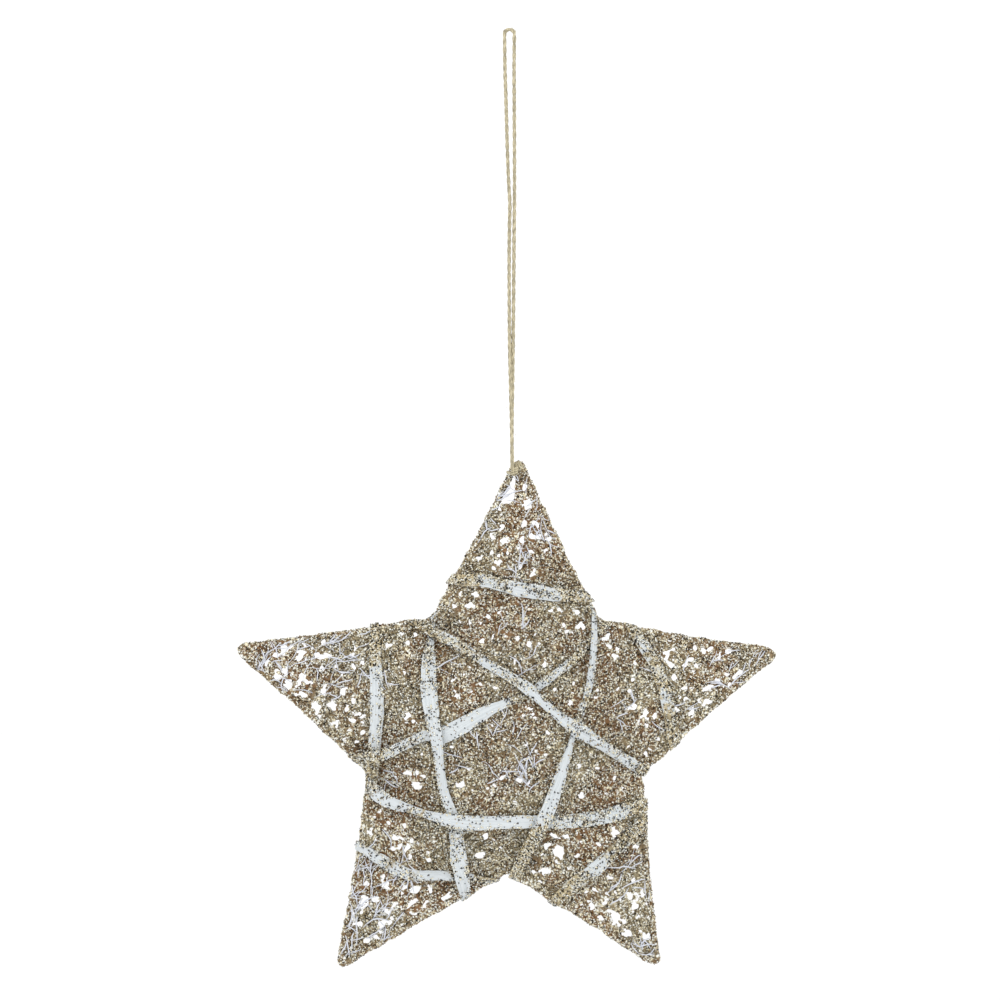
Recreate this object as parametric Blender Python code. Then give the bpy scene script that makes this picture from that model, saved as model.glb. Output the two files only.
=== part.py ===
"""Wire star ornament: a hollow fibre-covered star on a bent wire frame, with paper strips and a twine loop.

Metres, +Z up. The origin is the inside top of the hanging loop, and the star's front faces -Y.
"""

import math
import random

import bmesh
import bpy
from mathutils import Matrix, Vector
from mathutils.bvhtree import BVHTree
from mathutils.geometry import convex_hull_2d

MM = 0.001

# Star: the wire's path as it shows from the front, clockwise from the top. Each tip and inner corner has
# its own angle from straight up and its own share of the reach, because the frame is bent by hand.
TIP_REACH = 103.5 * MM
CORNER_REACH = 51.8 * MM
TIPS = ((2.7, 0.979), (72.5, 1.0), (146.2, 0.960), (216.0, 0.993), (288.4, 1.0))
CORNERS = ((39.0, 1.065), (105.0, 1.0), (179.0, 0.965), (255.0, 1.0), (328.5, 0.994))
TIP_BEND_WIDTH = 3.8 * MM
STAR_DEPTH = 44.0 * MM
SPAN_SHARE = 0.33  # how far out along the ridges the web still spans straight from ridge to ridge
HALF_SECTOR = 180.0 / len(TIPS)

RIM_WIRE_RADIUS = 0.6 * MM
RIDGE_WIRE_RADIUS = 0.45 * MM
RIDGE_WIRE_OVERRUN = 0.2 * MM  # past the peak, into the bead that joins the ridge wires there
WIRE_CLEARANCE = 0.3 * MM
FIBRE_WALL = 0.6 * MM
PIECE_GAP = 0.3 * MM
WELD_DISTANCE = 0.01 * MM
CURVE_WELD_DISTANCE = 0.001 * MM

# See-through holes of the web: few and small in the middle, many and larger in the arms.
HOLE_SEED = 11
ARM_HOLES = 13
ARM_HOLE_RADIUS = (1.1 * MM, 2.1 * MM)
MIDDLE_HOLES = 12
MIDDLE_HOLE_RADIUS = (0.6 * MM, 1.0 * MM)
MIDDLE_REACH = 42.0 * MM
HOLE_SPACING = 0.9 * MM
HOLE_SQUEEZE = (0.65, 1.0)
HOLE_SIDES = 5
HOLE_TRIES = 4000

# The opening beside the top tip's wire, which the twine goes through, and the sleeves of web beside it.
TIP_OPENING_LENGTH = 8.0 * MM
SLEEVE_LENGTH = 18.3 * MM
SLEEVE_STEP = 0.1 * MM  # how far a sleeve stands out of the web, so that their faces don't coincide

STRIP_THICKNESS = 0.4 * MM
ARM_STRIP_WIDTH = 5.2 * MM
MIDDLE_STRIP_WIDTH = 5.8 * MM
STATION_SPACING = 12.0 * MM
PROFILE_STEP = 0.3 * MM
PROFILE_TOLERANCE = 0.1 * MM
LINE_STEP = 2.0 * MM
RUN_ON_SHARE = 0.2  # how far past its route's ends a strip may run on to reach the rim
RIM_EASE = 14.0 * MM  # how far in from a slanting rim a strip's two edges differ in length
EDGE_SHARE = 0.52  # where a strip's edge is felt for, across its width, just past the edge itself
LAID_SHARES = (-EDGE_SHARE, -0.25, 0.0, 0.25, EDGE_SHARE)

CORD_DIAMETER = 1.15 * MM
LOOP_WIDTH = 3.6 * MM  # between the middles of the two legs at the loop's top
CORD_STEP = 5.2 * MM
KNOT_SIZE = Vector((3.2, 2.0, 3.4)) * MM
KNOT_OFFSET = Vector((1.58, -0.33, 0.43)) * MM  # from the small loop's front to the knot's middle
SMALL_LOOP_SHARE = 0.7  # how far the small loop's middle lies from the tip's bend to where it goes through
SMALL_LOOP_CLEARANCE = 0.4 * MM

# Paper strips in the order they were wound, by points (across, up) from the star's middle, in hundredths of
# the inner corners' reach.
ARM_STRIPS = {
    "strip_top_arm": (
        (-38.6, 113.9), (-15.4, 112.9), (11.6, 106.1), (34.8, 103.3), (61.7, 98.5),
    ),
    "strip_left_arm": (
        (-95.5, 78.1), (-93.7, 53.1), (-93.7, 23.2), (-95.5, 2.0), (-104.3, -25.2),
    ),
    "strip_right_arm": (
        (93.7, 78.1), (107.1, 53.1), (115.9, 27.0), (120.7, 2.8), (120.7, -15.4),
    ),
    "strip_lower_right_arm": (
        (28.0, -122.7), (46.4, -107.1), (66.5, -92.7), (85.9, -75.3), (108.1, -55.9),
    ),
    "strip_lower_left_arm": (
        (-116.9, -75.3), (-93.7, -84.9), (-65.7, -97.5), (-43.4, -100.3), (-6.8, -111.9),
    ),
}
MIDDLE_STRIPS = {
    "strip_left_to_upper_right": (
        (-105.3, -17.4), (-72.3, -3.8), (-44.4, 3.8), (-6.8, 24.2), (25.2, 40.6),
        (49.2, 54.9), (69.5, 81.1),
    ),
    "strip_upper_left_to_bottom": (
        (-54.1, 81.1), (-54.9, 43.4), (-48.4, -16.4), (-37.6, -54.1), (-32.8, -86.9),
        (-30.0, -114.9),
    ),
    "strip_left_to_right": (
        (-103.3, -31.0), (-74.3, -51.2), (-41.6, -58.9), (2.8, -58.9), (44.4, -58.9),
        (97.5, -53.1),
    ),
    "strip_upper_right_to_bottom": (
        (64.7, 88.7), (63.7, 69.5), (57.9, 33.8), (43.4, -14.4), (31.0, -50.2),
        (16.4, -79.1), (4.8, -101.3),
    ),
    "strip_upper_left_to_right": (
        (-51.2, 77.1), (-26.0, 61.7), (19.4, 38.6), (38.6, 14.4), (55.9, 4.8),
        (93.7, -20.2), (106.1, -30.0),
    ),
}

# The twine's route in millimetres from the origin: up the left leg, then down the right one.
LEFT_LEG = (
    (0.97, -4.10, -162.9), (0.93, -3.95, -157.7), (0.80, -3.60, -148.4), (0.62, -3.25, -141.0),
    (0.35, -2.75, -130.0), (0.02, -2.00, -115.0), (-0.11, -1.50, -100.0), (-0.14, -1.15, -85.0),
    (-0.05, -0.90, -74.0), (0.12, -0.75, -64.5), (-0.22, -0.65, -58.0), (-0.50, -0.55, -52.0),
    (-0.80, -0.45, -44.0), (-1.10, -0.35, -33.0), (-1.35, -0.25, -24.0), (-1.68, -0.12, -14.0),
)
RIGHT_LEG = (
    (1.72, -0.10, -14.0), (1.78, -0.20, -26.0), (1.86, -0.35, -44.0), (1.86, -0.55, -63.0),
    (1.74, -0.80, -75.0), (1.62, -1.05, -90.0), (1.50, -1.35, -105.0), (1.30, -1.70, -120.0),
    (1.15, -2.05, -132.0), (1.00, -2.25, -141.0), (0.92, -2.40, -149.0), (0.95, -2.60, -156.0),
    (1.04, -2.80, -162.9),
)
LOOP_POINTS = 7

SMOOTH_ANGLE = 35.0

CAVITY_RADIUS = RIM_WIRE_RADIUS + WIRE_CLEARANCE
COAT_RADIUS = CAVITY_RADIUS + FIBRE_WALL
PEAK_HEIGHT = STAR_DEPTH / 2 - COAT_RADIUS


def finish(name, colour, roughness, metallic=0.0):
    material = bpy.data.materials.new(name)
    material.use_nodes = True
    shader = material.node_tree.nodes["Principled BSDF"]
    shader.inputs["Base Color"].default_value = (*colour, 1.0)
    shader.inputs["Roughness"].default_value = roughness
    shader.inputs["Metallic"].default_value = metallic
    material.diffuse_color = (*colour, 1.0)
    return material


def clear_scene():
    for item in list(bpy.data.objects):
        bpy.data.objects.remove(item, do_unlink=True)


def new_collection(name, hidden=False):
    collection = bpy.data.collections.new(name)
    bpy.context.scene.collection.children.link(collection)
    collection.hide_render = hidden
    return collection


def add_object(name, data, collection, material=None, parent=None):
    item = bpy.data.objects.new(name, data)
    collection.objects.link(item)
    if material:
        data.materials.append(material)
    item.parent = parent
    return item


def add_cutter(name, mesh, cutters, parent):
    cutter = add_object(name, mesh, cutters, parent=parent)
    cutter.hide_render = True
    cutter.display_type = "WIRE"
    return cutter


def add_boolean(target, cutter, operation):
    """The shapes share balls, so their faces coincide, which the Exact solver leaves open."""
    modifier = target.modifiers.new(cutter.name, "BOOLEAN")
    modifier.operation = operation
    modifier.solver = "MANIFOLD"
    modifier.object = cutter


def evaluated_mesh(item):
    bpy.context.view_layer.update()
    graph = bpy.context.evaluated_depsgraph_get()
    return bpy.data.meshes.new_from_object(item.evaluated_get(graph))


def united(name, meshes, collection):
    """One mesh from several that overlap, through Boolean unions."""
    items = [add_object(f"{name}_{i}", mesh, collection) for i, mesh in enumerate(meshes)]
    for other in items[1:]:
        add_boolean(items[0], other, "UNION")
    shape = bmesh.new()
    shape.from_mesh(evaluated_mesh(items[0]))
    bmesh.ops.remove_doubles(shape, verts=shape.verts[:], dist=WELD_DISTANCE)
    bmesh.ops.dissolve_degenerate(shape, edges=shape.edges[:], dist=WELD_DISTANCE)
    for item in items:
        bpy.data.objects.remove(item)
    return mesh_of(name, shape)


# The star's points

def on_face(reach, clockwise_degrees):
    angle = math.radians(clockwise_degrees)
    return Vector((math.sin(angle), 0.0, math.cos(angle))) * reach


def tip_points(index):
    """The two ends of the wire's blunt bend at a tip, anticlockwise end first."""
    angle, share = TIPS[index]
    middle = on_face(TIP_REACH * share, angle)
    half_bend = on_face(TIP_BEND_WIDTH / 2, angle + 90)
    return middle - half_bend, middle + half_bend


def tip_middle(index):
    return sum(tip_points(index), Vector()) / 2


def corner_point(index):
    angle, share = CORNERS[index % len(CORNERS)]
    return on_face(CORNER_REACH * share, angle)


def peaks():
    return Vector((0, -PEAK_HEIGHT, 0)), Vector((0, PEAK_HEIGHT, 0))


def ridge_points(index, share):
    """The points at a share of the way from each peak to a tip, along the front and back ridges."""
    return [peak.lerp(tip_middle(index), share) for peak in peaks()]


def rim_path():
    path = []
    for index in range(len(TIPS)):
        path += [*tip_points(index), corner_point(index)]
    return path


# Web and wires

def hull_of_balls(name, centres, radius):
    """The tight skin round balls at the given points."""
    shape = bmesh.new()
    upright = Matrix.Rotation(math.pi / 2, 4, "X")
    for centre in centres:
        place = Matrix.Translation(centre) @ upright
        bmesh.ops.create_uvsphere(shape, u_segments=8, v_segments=4, radius=radius, matrix=place)
    bmesh.ops.delete(shape, geom=shape.edges[:], context="EDGES_FACES")
    hull = bmesh.ops.convex_hull(shape, input=shape.verts[:])
    inside = [part for part in hull["geom_interior"] if isinstance(part, bmesh.types.BMVert)]
    bmesh.ops.delete(shape, geom=inside, context="VERTS")
    bmesh.ops.recalc_face_normals(shape, faces=shape.faces[:])
    return mesh_of(name, shape)


def mesh_of(name, shape):
    mesh = bpy.data.meshes.new(name)
    shape.to_mesh(mesh)
    shape.free()
    return mesh


def star_solid(name, radius, collection):
    """The star's full form, each surface the given distance outside the wire's middle line."""
    bodies = []
    for index in range(len(TIPS)):
        base = [corner_point(index - 1), corner_point(index), *peaks()]
        bodies.append(hull_of_balls(name, [*tip_points(index), *base], radius))
    middle = [*peaks()]
    for index in range(len(TIPS)):
        middle += [corner_point(index), *ridge_points(index, SPAN_SHARE)]
    bodies.append(hull_of_balls(name, middle, radius))
    return united(name, bodies, collection)


def tube_curve(name, points, radius, cyclic=False, resolution=1):
    curve = bpy.data.curves.new(name, "CURVE")
    curve.dimensions = "3D"
    curve.bevel_depth = radius
    curve.bevel_resolution = resolution
    curve.use_fill_caps = not cyclic
    spline = curve.splines.new("POLY")
    spline.points.add(len(points) - 1)
    for place, point in zip(spline.points, points):
        place.co = (*point, 1.0)
    spline.use_cyclic_u = cyclic
    return curve


def curve_mesh(curve, collection):
    item = add_object(curve.name, curve, collection)
    mesh = evaluated_mesh(item)
    bpy.data.objects.remove(item)
    shape = bmesh.new()
    shape.from_mesh(mesh)
    bmesh.ops.remove_doubles(shape, verts=shape.verts[:], dist=CURVE_WELD_DISTANCE)
    bmesh.ops.recalc_face_normals(shape, faces=shape.faces[:])
    return mesh_of(curve.name, shape)


def wire_frame_mesh(collection):
    """The bent rim wire, with ridge wires from each tip to a bead at either peak."""
    shapes = [curve_mesh(tube_curve("rim_wire", rim_path(), RIM_WIRE_RADIUS, cyclic=True), collection)]
    for peak in peaks():
        shapes.append(hull_of_balls("bead", [peak], RIM_WIRE_RADIUS))
        for index in range(len(TIPS)):
            tip = tip_middle(index)
            past_peak = peak + (peak - tip).normalized() * RIDGE_WIRE_OVERRUN
            ridge = tube_curve("ridge_wire", [tip, past_peak], RIDGE_WIRE_RADIUS)
            shapes.append(curve_mesh(ridge, collection))
    return united("wire_frame", shapes, collection)


def add_prism(shape, outline, half_depth):
    """A prism along Y from an outline that lies in the star's middle plane."""
    verts = [shape.verts.new(point - Vector((0, half_depth, 0))) for point in outline]
    face = shape.faces.new(verts)
    made = bmesh.ops.extrude_face_region(shape, geom=[face])["geom"]
    moved = [part for part in made if isinstance(part, bmesh.types.BMVert)]
    bmesh.ops.translate(shape, verts=moved, vec=(0, 2 * half_depth, 0))
    bmesh.ops.recalc_face_normals(shape, faces=shape.faces[:])


def distance_to_line(point, start, end):
    along = (end - start).normalized()
    offset = (point - start).dot(along)
    nearest = start + along * min(max(offset, 0.0), (end - start).length)
    return (point - nearest).length


def inside_outline(point, path):
    inside = False
    for start, end in zip(path, path[1:] + path[:1]):
        if (start.z > point.z) != (end.z > point.z):
            crossing = start.x + (point.z - start.z) * (end.x - start.x) / (end.z - start.z)
            inside ^= point.x < crossing
    return inside


def hole_places():
    """(centre, radius) of each see-through hole, clear of the wires and of each other."""
    picker = random.Random(HOLE_SEED)
    path = rim_path()
    rim = list(zip(path, path[1:] + path[:1]))
    ridges = [(Vector(), tip_middle(index)) for index in range(len(TIPS))]
    holes = []

    def is_free(centre, radius):
        apart = all((centre - other).length > radius + size + HOLE_SPACING for other, size in holes)
        room = COAT_RADIUS + radius
        clear = all(distance_to_line(centre, *line) > room + HOLE_SPACING / 2 for line in rim)
        return apart and clear and all(distance_to_line(centre, *line) > room for line in ridges)

    def scatter(count, sizes, span, nearest, farthest):
        placed = 0
        for _ in range(HOLE_TRIES):
            reach = nearest + (farthest - nearest) * math.sqrt(picker.random())
            centre = on_face(reach, picker.uniform(*span))
            radius = picker.uniform(*sizes)
            if placed < count and inside_outline(centre, path) and is_free(centre, radius):
                holes.append((centre, radius))
                placed += 1

    for angle, _ in TIPS:
        sector = (angle - HALF_SECTOR, angle + HALF_SECTOR)
        scatter(ARM_HOLES, ARM_HOLE_RADIUS, sector, MIDDLE_REACH, TIP_REACH)
    scatter(MIDDLE_HOLES, MIDDLE_HOLE_RADIUS, (0, 360), 0.0, MIDDLE_REACH)
    return holes


def hole_prisms():
    shape = bmesh.new()
    picker = random.Random(HOLE_SEED)
    sideways = Matrix.Rotation(math.pi / 2, 4, "X")
    for place, radius in hole_places():
        turn = Matrix.Rotation(picker.uniform(0, math.tau), 4, "Y")
        squeeze = Matrix.Scale(picker.uniform(*HOLE_SQUEEZE), 4, (1, 0, 0))
        bmesh.ops.create_cone(
            shape,
            cap_ends=True,
            segments=HOLE_SIDES,
            radius1=radius,
            radius2=radius,
            depth=2 * STAR_DEPTH,
            matrix=Matrix.Translation(place) @ turn @ squeeze @ sideways,
        )
    return mesh_of("holes", shape)


def tip_wires():
    """The top tip's left rim and ridge as seen from the front, and how far down the twine goes round."""
    rim_start = tip_points(0)[0]
    rim_way = (corner_point(-1) - rim_start).normalized()
    ridge_start = ridge_points(0, 1.0)[0]
    ridge_way = -ridge_start.normalized()
    spread = math.sin(rim_way.angle(ridge_way))
    room = 2 * COAT_RADIUS + CORD_DIAMETER + SMALL_LOOP_CLEARANCE
    loop_distance = (room - TIP_BEND_WIDTH / 2) / spread
    return rim_start, rim_way, ridge_start, ridge_way, loop_distance


def tip_opening_outline():
    rim_start, rim_way, ridge_start, ridge_way, loop_distance = tip_wires()
    top = loop_distance - CORD_DIAMETER
    bottom = top + TIP_OPENING_LENGTH
    inwards = Vector((1, 0, 0)) * PIECE_GAP
    return [
        rim_start + rim_way * top + inwards,
        rim_start + rim_way * bottom + inwards,
        ridge_start + ridge_way * bottom - inwards,
        ridge_start + ridge_way * top - inwards,
    ]


def tip_coats(radius, collection):
    """The web's sleeves on the wires beside the tip's opening: the rim and the two ridges."""
    rim_start, rim_way, *_ = tip_wires()
    share = 1 - SLEEVE_LENGTH / tip_middle(0).length
    ridges = zip(ridge_points(0, 1.0), ridge_points(0, share))
    runs = [(rim_start, rim_start + rim_way * SLEEVE_LENGTH), *ridges]
    return united("tip_coats", [hull_of_balls("tip_coat", run, radius) for run in runs], collection)


def add_fibre_shell(parts, cutters, centre, outside, material):
    """The web: the star's form, opened beside the top tip's wires, hollowed and pierced."""
    shell = add_object("fibre_shell", outside, parts, material, centre)
    opening = bmesh.new()
    add_prism(opening, tip_opening_outline(), STAR_DEPTH)
    changes = (
        ("tip_opening", mesh_of("tip_opening", opening), "DIFFERENCE"),
        ("tip_coats", tip_coats(COAT_RADIUS + SLEEVE_STEP, cutters), "UNION"),
        ("cavity", star_solid("cavity", CAVITY_RADIUS, cutters), "DIFFERENCE"),
        ("holes", hole_prisms(), "DIFFERENCE"),
    )
    for name, mesh, operation in changes:
        add_boolean(shell, add_cutter(name, mesh, cutters, centre), operation)
    return shell


# Smooth routes

def smooth_route(points, longest_step):
    """Points on a smooth curve through the given ones, none farther apart than about the longest step."""
    points = [Vector(point) for point in points]
    ends = [2 * points[0] - points[1], *points, 2 * points[-1] - points[-2]]
    route = []
    for before, start, end, after in zip(ends, ends[1:], ends[2:], ends[3:]):
        steps = max(1, math.ceil((end - start).length / longest_step))
        for step in range(steps):
            t = step / steps
            bend = 2 * before - 5 * start + 4 * end - after
            twist = 3 * (start - end) + after - before
            route.append(start + ((end - before) * t + bend * t**2 + twist * t**3) / 2)
    return [*route, points[-1]]


class CentreLine:
    """A strip's middle line as it shows from the front, read by the length along it."""

    def __init__(self, points):
        unit = CORNER_REACH / 100
        self.points = smooth_route([(x * unit, 0.0, z * unit) for x, z in points], LINE_STEP)
        self.reach = [0.0]
        for start, end in zip(self.points, self.points[1:]):
            self.reach.append(self.reach[-1] + (end - start).length)

    def at(self, distance):
        """The point at this length and the way across the strip there; past an end it runs straight on."""
        after = next((i for i, reach in enumerate(self.reach) if reach > distance), len(self.reach) - 1)
        after = max(after, 1)
        start, end = self.points[after - 1], self.points[after]
        along = (end - start).normalized()
        ahead = self.direction(min(after + 1, len(self.points) - 1))
        behind = self.direction(after)
        share = min(max((distance - self.reach[after - 1]) / (end - start).length, 0.0), 1.0)
        heading = behind.lerp(ahead, share)
        across = Vector((-heading.z, 0.0, heading.x)).normalized()
        return start + along * (distance - self.reach[after - 1]), across

    def direction(self, index):
        before, after = max(index - 2, 0), min(index, len(self.points) - 1)
        return (self.points[after] - self.points[before]).normalized()


# Paper strips

def height_over(surfaces, x, z):
    """How far the outermost of the surfaces stands in front of the star's middle plane, or None."""
    start = Vector((x, -STAR_DEPTH, z))
    hits = [surface.ray_cast(start, Vector((0, 1, 0)))[0] for surface in surfaces]
    heights = [-hit.y for hit in hits if hit is not None]
    return max(heights) if heights else None


def profile_under(line, offsets, surfaces):
    """(length, height) of what a strip lies over, between the two rims that it wraps round."""
    length = line.reach[-1]

    def height_at(distance):
        point, across = line.at(distance)
        places = [point + across * offset for offset in offsets]
        heights = [height_over(surfaces, place.x, place.z) for place in places]
        return max((height for height in heights if height is not None), default=None)

    profile = []
    for direction in (-1, 1):
        distance = length / 2
        height = height_at(distance)
        while height is not None and abs(distance / length - 0.5) < 0.5 + RUN_ON_SHARE:
            profile.append((distance, height))
            distance += direction * PROFILE_STEP
            height = height_at(distance)
        profile.append((distance, 0.0))
    return sorted(profile)


def grown(outline, distance):
    """A convex outline with every side moved outwards by the distance."""
    turned = []
    for before, here, after in zip(outline[-1:] + outline[:-1], outline, outline[1:] + outline[:1]):
        first = outward(before, here)
        second = outward(here, after)
        turned.append(here + (first + second) * (distance / (1 + first.dot(second))))
    return turned


def outward(start, end):
    along = (end - start).normalized()
    return Vector((along.y, -along.x))


def thinned(outline):
    """A convex outline with only the points that it needs, and none too far apart to follow a bend."""
    outline = [*outline, outline[0]]
    kept = [0]
    for index in range(2, len(outline)):
        start, end = outline[kept[-1]], outline[index]
        side = outward(start, end)
        cut = max((middle - start).dot(side) for middle in outline[kept[-1] + 1 : index])
        if cut > PROFILE_TOLERANCE or (end - start).length > STATION_SPACING:
            kept.append(index - 1)
    corners = [outline[index] for index in kept]
    stations = []
    for start, end in zip(corners, corners[1:] + corners[:1]):
        pieces = max(1, math.ceil((end - start).length / STATION_SPACING))
        stations += [start.lerp(end, piece / pieces) for piece in range(pieces)]
    return stations


def ring_mesh(name, inner, outer, width, collection):
    """A flat ring between two outlines, as thick as the strip is wide."""
    curve = bpy.data.curves.new(name, "CURVE")
    curve.dimensions = "2D"
    curve.fill_mode = "BOTH"
    curve.extrude = width / 2
    for outline in (inner, outer):
        spline = curve.splines.new("POLY")
        spline.points.add(len(outline) - 1)
        for place, point in zip(spline.points, outline):
            place.co = (point.x, point.y, 0.0, 1.0)
        spline.use_cyclic_u = True
    return curve_mesh(curve, collection)


def add_strip(name, points, width, surfaces, parts, cutters, centre, material):
    """A band laid taut round the star in front and behind, straight between what it rests on."""
    line = CentreLine(points)
    profile = profile_under(line, [width * share for share in LAID_SHARES], surfaces)
    around = [Vector((distance, side * height)) for distance, height in profile for side in (-1, 1)]
    hull = [around[index] for index in convex_hull_2d(around)]
    inner = grown(thinned(hull), PIECE_GAP)
    mesh = ring_mesh(name, inner, grown(inner, STRIP_THICKNESS), width, cutters)

    edges = [profile_under(line, [width * share], surfaces) for share in (-EDGE_SHARE, EDGE_SHARE)]
    starts = [edge[0][0] - profile[0][0] - PIECE_GAP for edge in edges]
    ends = [edge[-1][0] - profile[-1][0] + PIECE_GAP for edge in edges]

    def along(distance, offset):
        """The distance moved in where one edge of the strip meets a slanting rim before the other."""
        side = offset / width + 0.5
        near_start = max(0.0, 1 - (distance - profile[0][0]) / RIM_EASE)
        near_end = max(0.0, 1 - (profile[-1][0] - distance) / RIM_EASE)
        start_shift = starts[0] + (starts[1] - starts[0]) * side
        end_shift = ends[0] + (ends[1] - ends[0]) * side
        return distance + start_shift * min(near_start, 1.0) + end_shift * min(near_end, 1.0)

    for vertex in mesh.vertices:
        distance, height, offset = vertex.co
        point, across = line.at(along(distance, offset))
        vertex.co = point + across * offset + Vector((0, height, 0))
    shape = bmesh.new()
    shape.from_mesh(mesh)
    bmesh.ops.recalc_face_normals(shape, faces=shape.faces[:])
    surfaces.append(BVHTree.FromBMesh(shape))
    return add_object(name, mesh_of(name, shape), parts, material, centre)


# Twine

def cord_route():
    radius = LOOP_WIDTH / 2
    top = Vector((0, 0, CORD_DIAMETER / 2 - radius))
    loop = []
    for step in range(LOOP_POINTS):
        angle = math.pi * step / (LOOP_POINTS - 1)
        loop.append(top + Vector((-math.cos(angle), 0, math.sin(angle))) * radius)
    left = [Vector(point) * MM for point in LEFT_LEG]
    right = [Vector(point) * MM for point in RIGHT_LEG]
    return smooth_route([*left, *loop, *right], CORD_STEP)


def twine_end():
    """The middle between the ends of the twine's two legs."""
    return (Vector(LEFT_LEG[0]) + Vector(RIGHT_LEG[-1])) / 2 * MM


def small_loop():
    """The middle of the small loop round the tip's rim wire, and where it goes through the opening."""
    rim_start, rim_way, _, _, loop_distance = tip_wires()
    inwards = Vector((-rim_way.z, 0, rim_way.x))
    clear = COAT_RADIUS + CORD_DIAMETER / 2 + SMALL_LOOP_CLEARANCE
    through = rim_start + rim_way * loop_distance + inwards * clear
    return rim_start + rim_way * loop_distance * SMALL_LOOP_SHARE, through


def knot_middle():
    """The middle of the knot from the star's middle, in front of the small loop."""
    middle, through = small_loop()
    front = middle - Vector((0, (through - middle).length, 0))
    return front + KNOT_OFFSET


def star_centre():
    """The star's middle, as it hangs with its knot just under the twine's ends."""
    knot_top = knot_middle() + Vector((0, 0, KNOT_SIZE.z / 2 + PIECE_GAP))
    return twine_end() - knot_top


def add_knot(parts, centre, cutters, material):
    """The knot in front of the tip, with the small loop that goes through the opening and round the rim."""
    middle, through = small_loop()
    bpy.ops.mesh.primitive_torus_add(
        major_segments=14,
        minor_segments=6,
        major_radius=(through - middle).length,
        minor_radius=CORD_DIAMETER / 2,
    )
    ring = bpy.context.object
    axis = (through - middle).cross(Vector((0, 1, 0)))
    turn = Vector((0, 0, 1)).rotation_difference(axis).to_matrix().to_4x4()
    ring.data.transform(Matrix.Translation(middle) @ turn)
    lump = bmesh.new()
    bmesh.ops.create_icosphere(lump, subdivisions=2, radius=0.5)
    bmesh.ops.scale(lump, verts=lump.verts[:], vec=KNOT_SIZE)
    bmesh.ops.translate(lump, verts=lump.verts[:], vec=knot_middle())
    mesh = united("knot", [ring.data, mesh_of("lump", lump)], cutters)
    bpy.data.objects.remove(ring)
    return add_object("knot", mesh, parts, material, centre)


def shade_smooth(item):
    item.data.shade_smooth()
    item.data.set_sharp_from_angle(angle=math.radians(SMOOTH_ANGLE))


def main():
    clear_scene()
    parts = new_collection("wire_star_ornament")
    cutters = new_collection("cutters", hidden=True)
    steel = finish("dark_wire", (0.16, 0.13, 0.10), 0.45, 0.8)
    glitter = finish("gold_glitter_fibre", (0.44, 0.33, 0.20), 0.5, 0.4)
    paper = finish("white_paper", (0.80, 0.83, 0.86), 0.7)
    twine = finish("cream_twine", (0.63, 0.57, 0.43), 0.85)

    centre = bpy.data.objects.new("star_centre", None)
    centre.location = star_centre()
    parts.objects.link(centre)
    shade_smooth(add_object("wire_frame", wire_frame_mesh(cutters), parts, steel, centre))

    outside = star_solid("fibre_shell", COAT_RADIUS, cutters)
    form = bmesh.new()
    form.from_mesh(outside)
    surfaces = [BVHTree.FromBMesh(form)]
    form.free()
    shade_smooth(add_fibre_shell(parts, cutters, centre, outside, glitter))

    for name, points in ARM_STRIPS.items():
        add_strip(name, points, ARM_STRIP_WIDTH, surfaces, parts, cutters, centre, paper)
    for name, points in MIDDLE_STRIPS.items():
        add_strip(name, points, MIDDLE_STRIP_WIDTH, surfaces, parts, cutters, centre, paper)

    cord = tube_curve("hanging_cord", cord_route(), CORD_DIAMETER / 2, resolution=2)
    add_object("hanging_cord", cord, parts, twine)
    shade_smooth(add_knot(parts, centre, cutters, twine))


main()
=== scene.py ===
"""The looks of a hanging wire star: a glittered fibre web over bent wire, paper strips and a twine loop.

Laid out as an add-on and run as a script. Metres, +Z up. The origin is the inside top of the hanging loop,
and the star's front faces -Y.
"""

import math

import bmesh
import bpy
import numpy as np
from bpy.props import FloatProperty, FloatVectorProperty, IntProperty, PointerProperty
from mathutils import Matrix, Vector
from mathutils.bvhtree import BVHTree
from mathutils.geometry import convex_hull_2d


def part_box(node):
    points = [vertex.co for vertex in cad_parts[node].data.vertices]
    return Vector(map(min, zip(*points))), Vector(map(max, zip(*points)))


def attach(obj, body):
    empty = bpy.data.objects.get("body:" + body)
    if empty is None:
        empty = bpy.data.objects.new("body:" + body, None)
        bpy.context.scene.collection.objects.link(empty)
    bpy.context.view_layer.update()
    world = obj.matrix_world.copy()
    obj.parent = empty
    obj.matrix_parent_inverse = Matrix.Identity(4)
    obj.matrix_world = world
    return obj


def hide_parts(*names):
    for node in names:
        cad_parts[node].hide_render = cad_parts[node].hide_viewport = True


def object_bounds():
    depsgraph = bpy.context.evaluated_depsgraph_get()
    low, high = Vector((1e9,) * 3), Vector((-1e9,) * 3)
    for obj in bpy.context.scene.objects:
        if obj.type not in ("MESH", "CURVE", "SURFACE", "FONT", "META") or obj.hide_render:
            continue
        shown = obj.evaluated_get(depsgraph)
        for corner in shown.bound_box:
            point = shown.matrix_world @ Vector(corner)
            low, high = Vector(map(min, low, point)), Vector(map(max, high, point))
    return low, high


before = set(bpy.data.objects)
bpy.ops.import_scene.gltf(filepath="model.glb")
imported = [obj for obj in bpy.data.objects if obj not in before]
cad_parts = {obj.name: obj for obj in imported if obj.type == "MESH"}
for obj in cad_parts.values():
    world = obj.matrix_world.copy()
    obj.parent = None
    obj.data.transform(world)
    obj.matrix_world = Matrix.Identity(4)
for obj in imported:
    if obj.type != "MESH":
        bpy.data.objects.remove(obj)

bl_info = {
    "name": "Hanging wire star",
    "version": (1, 0, 0),
    "blender": (4, 5, 0),
    "location": "View3D > Sidebar > Wire star",
    "description": "Winds, glitters and hangs a wire star ornament",
    "category": "Add Mesh",
}

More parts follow.
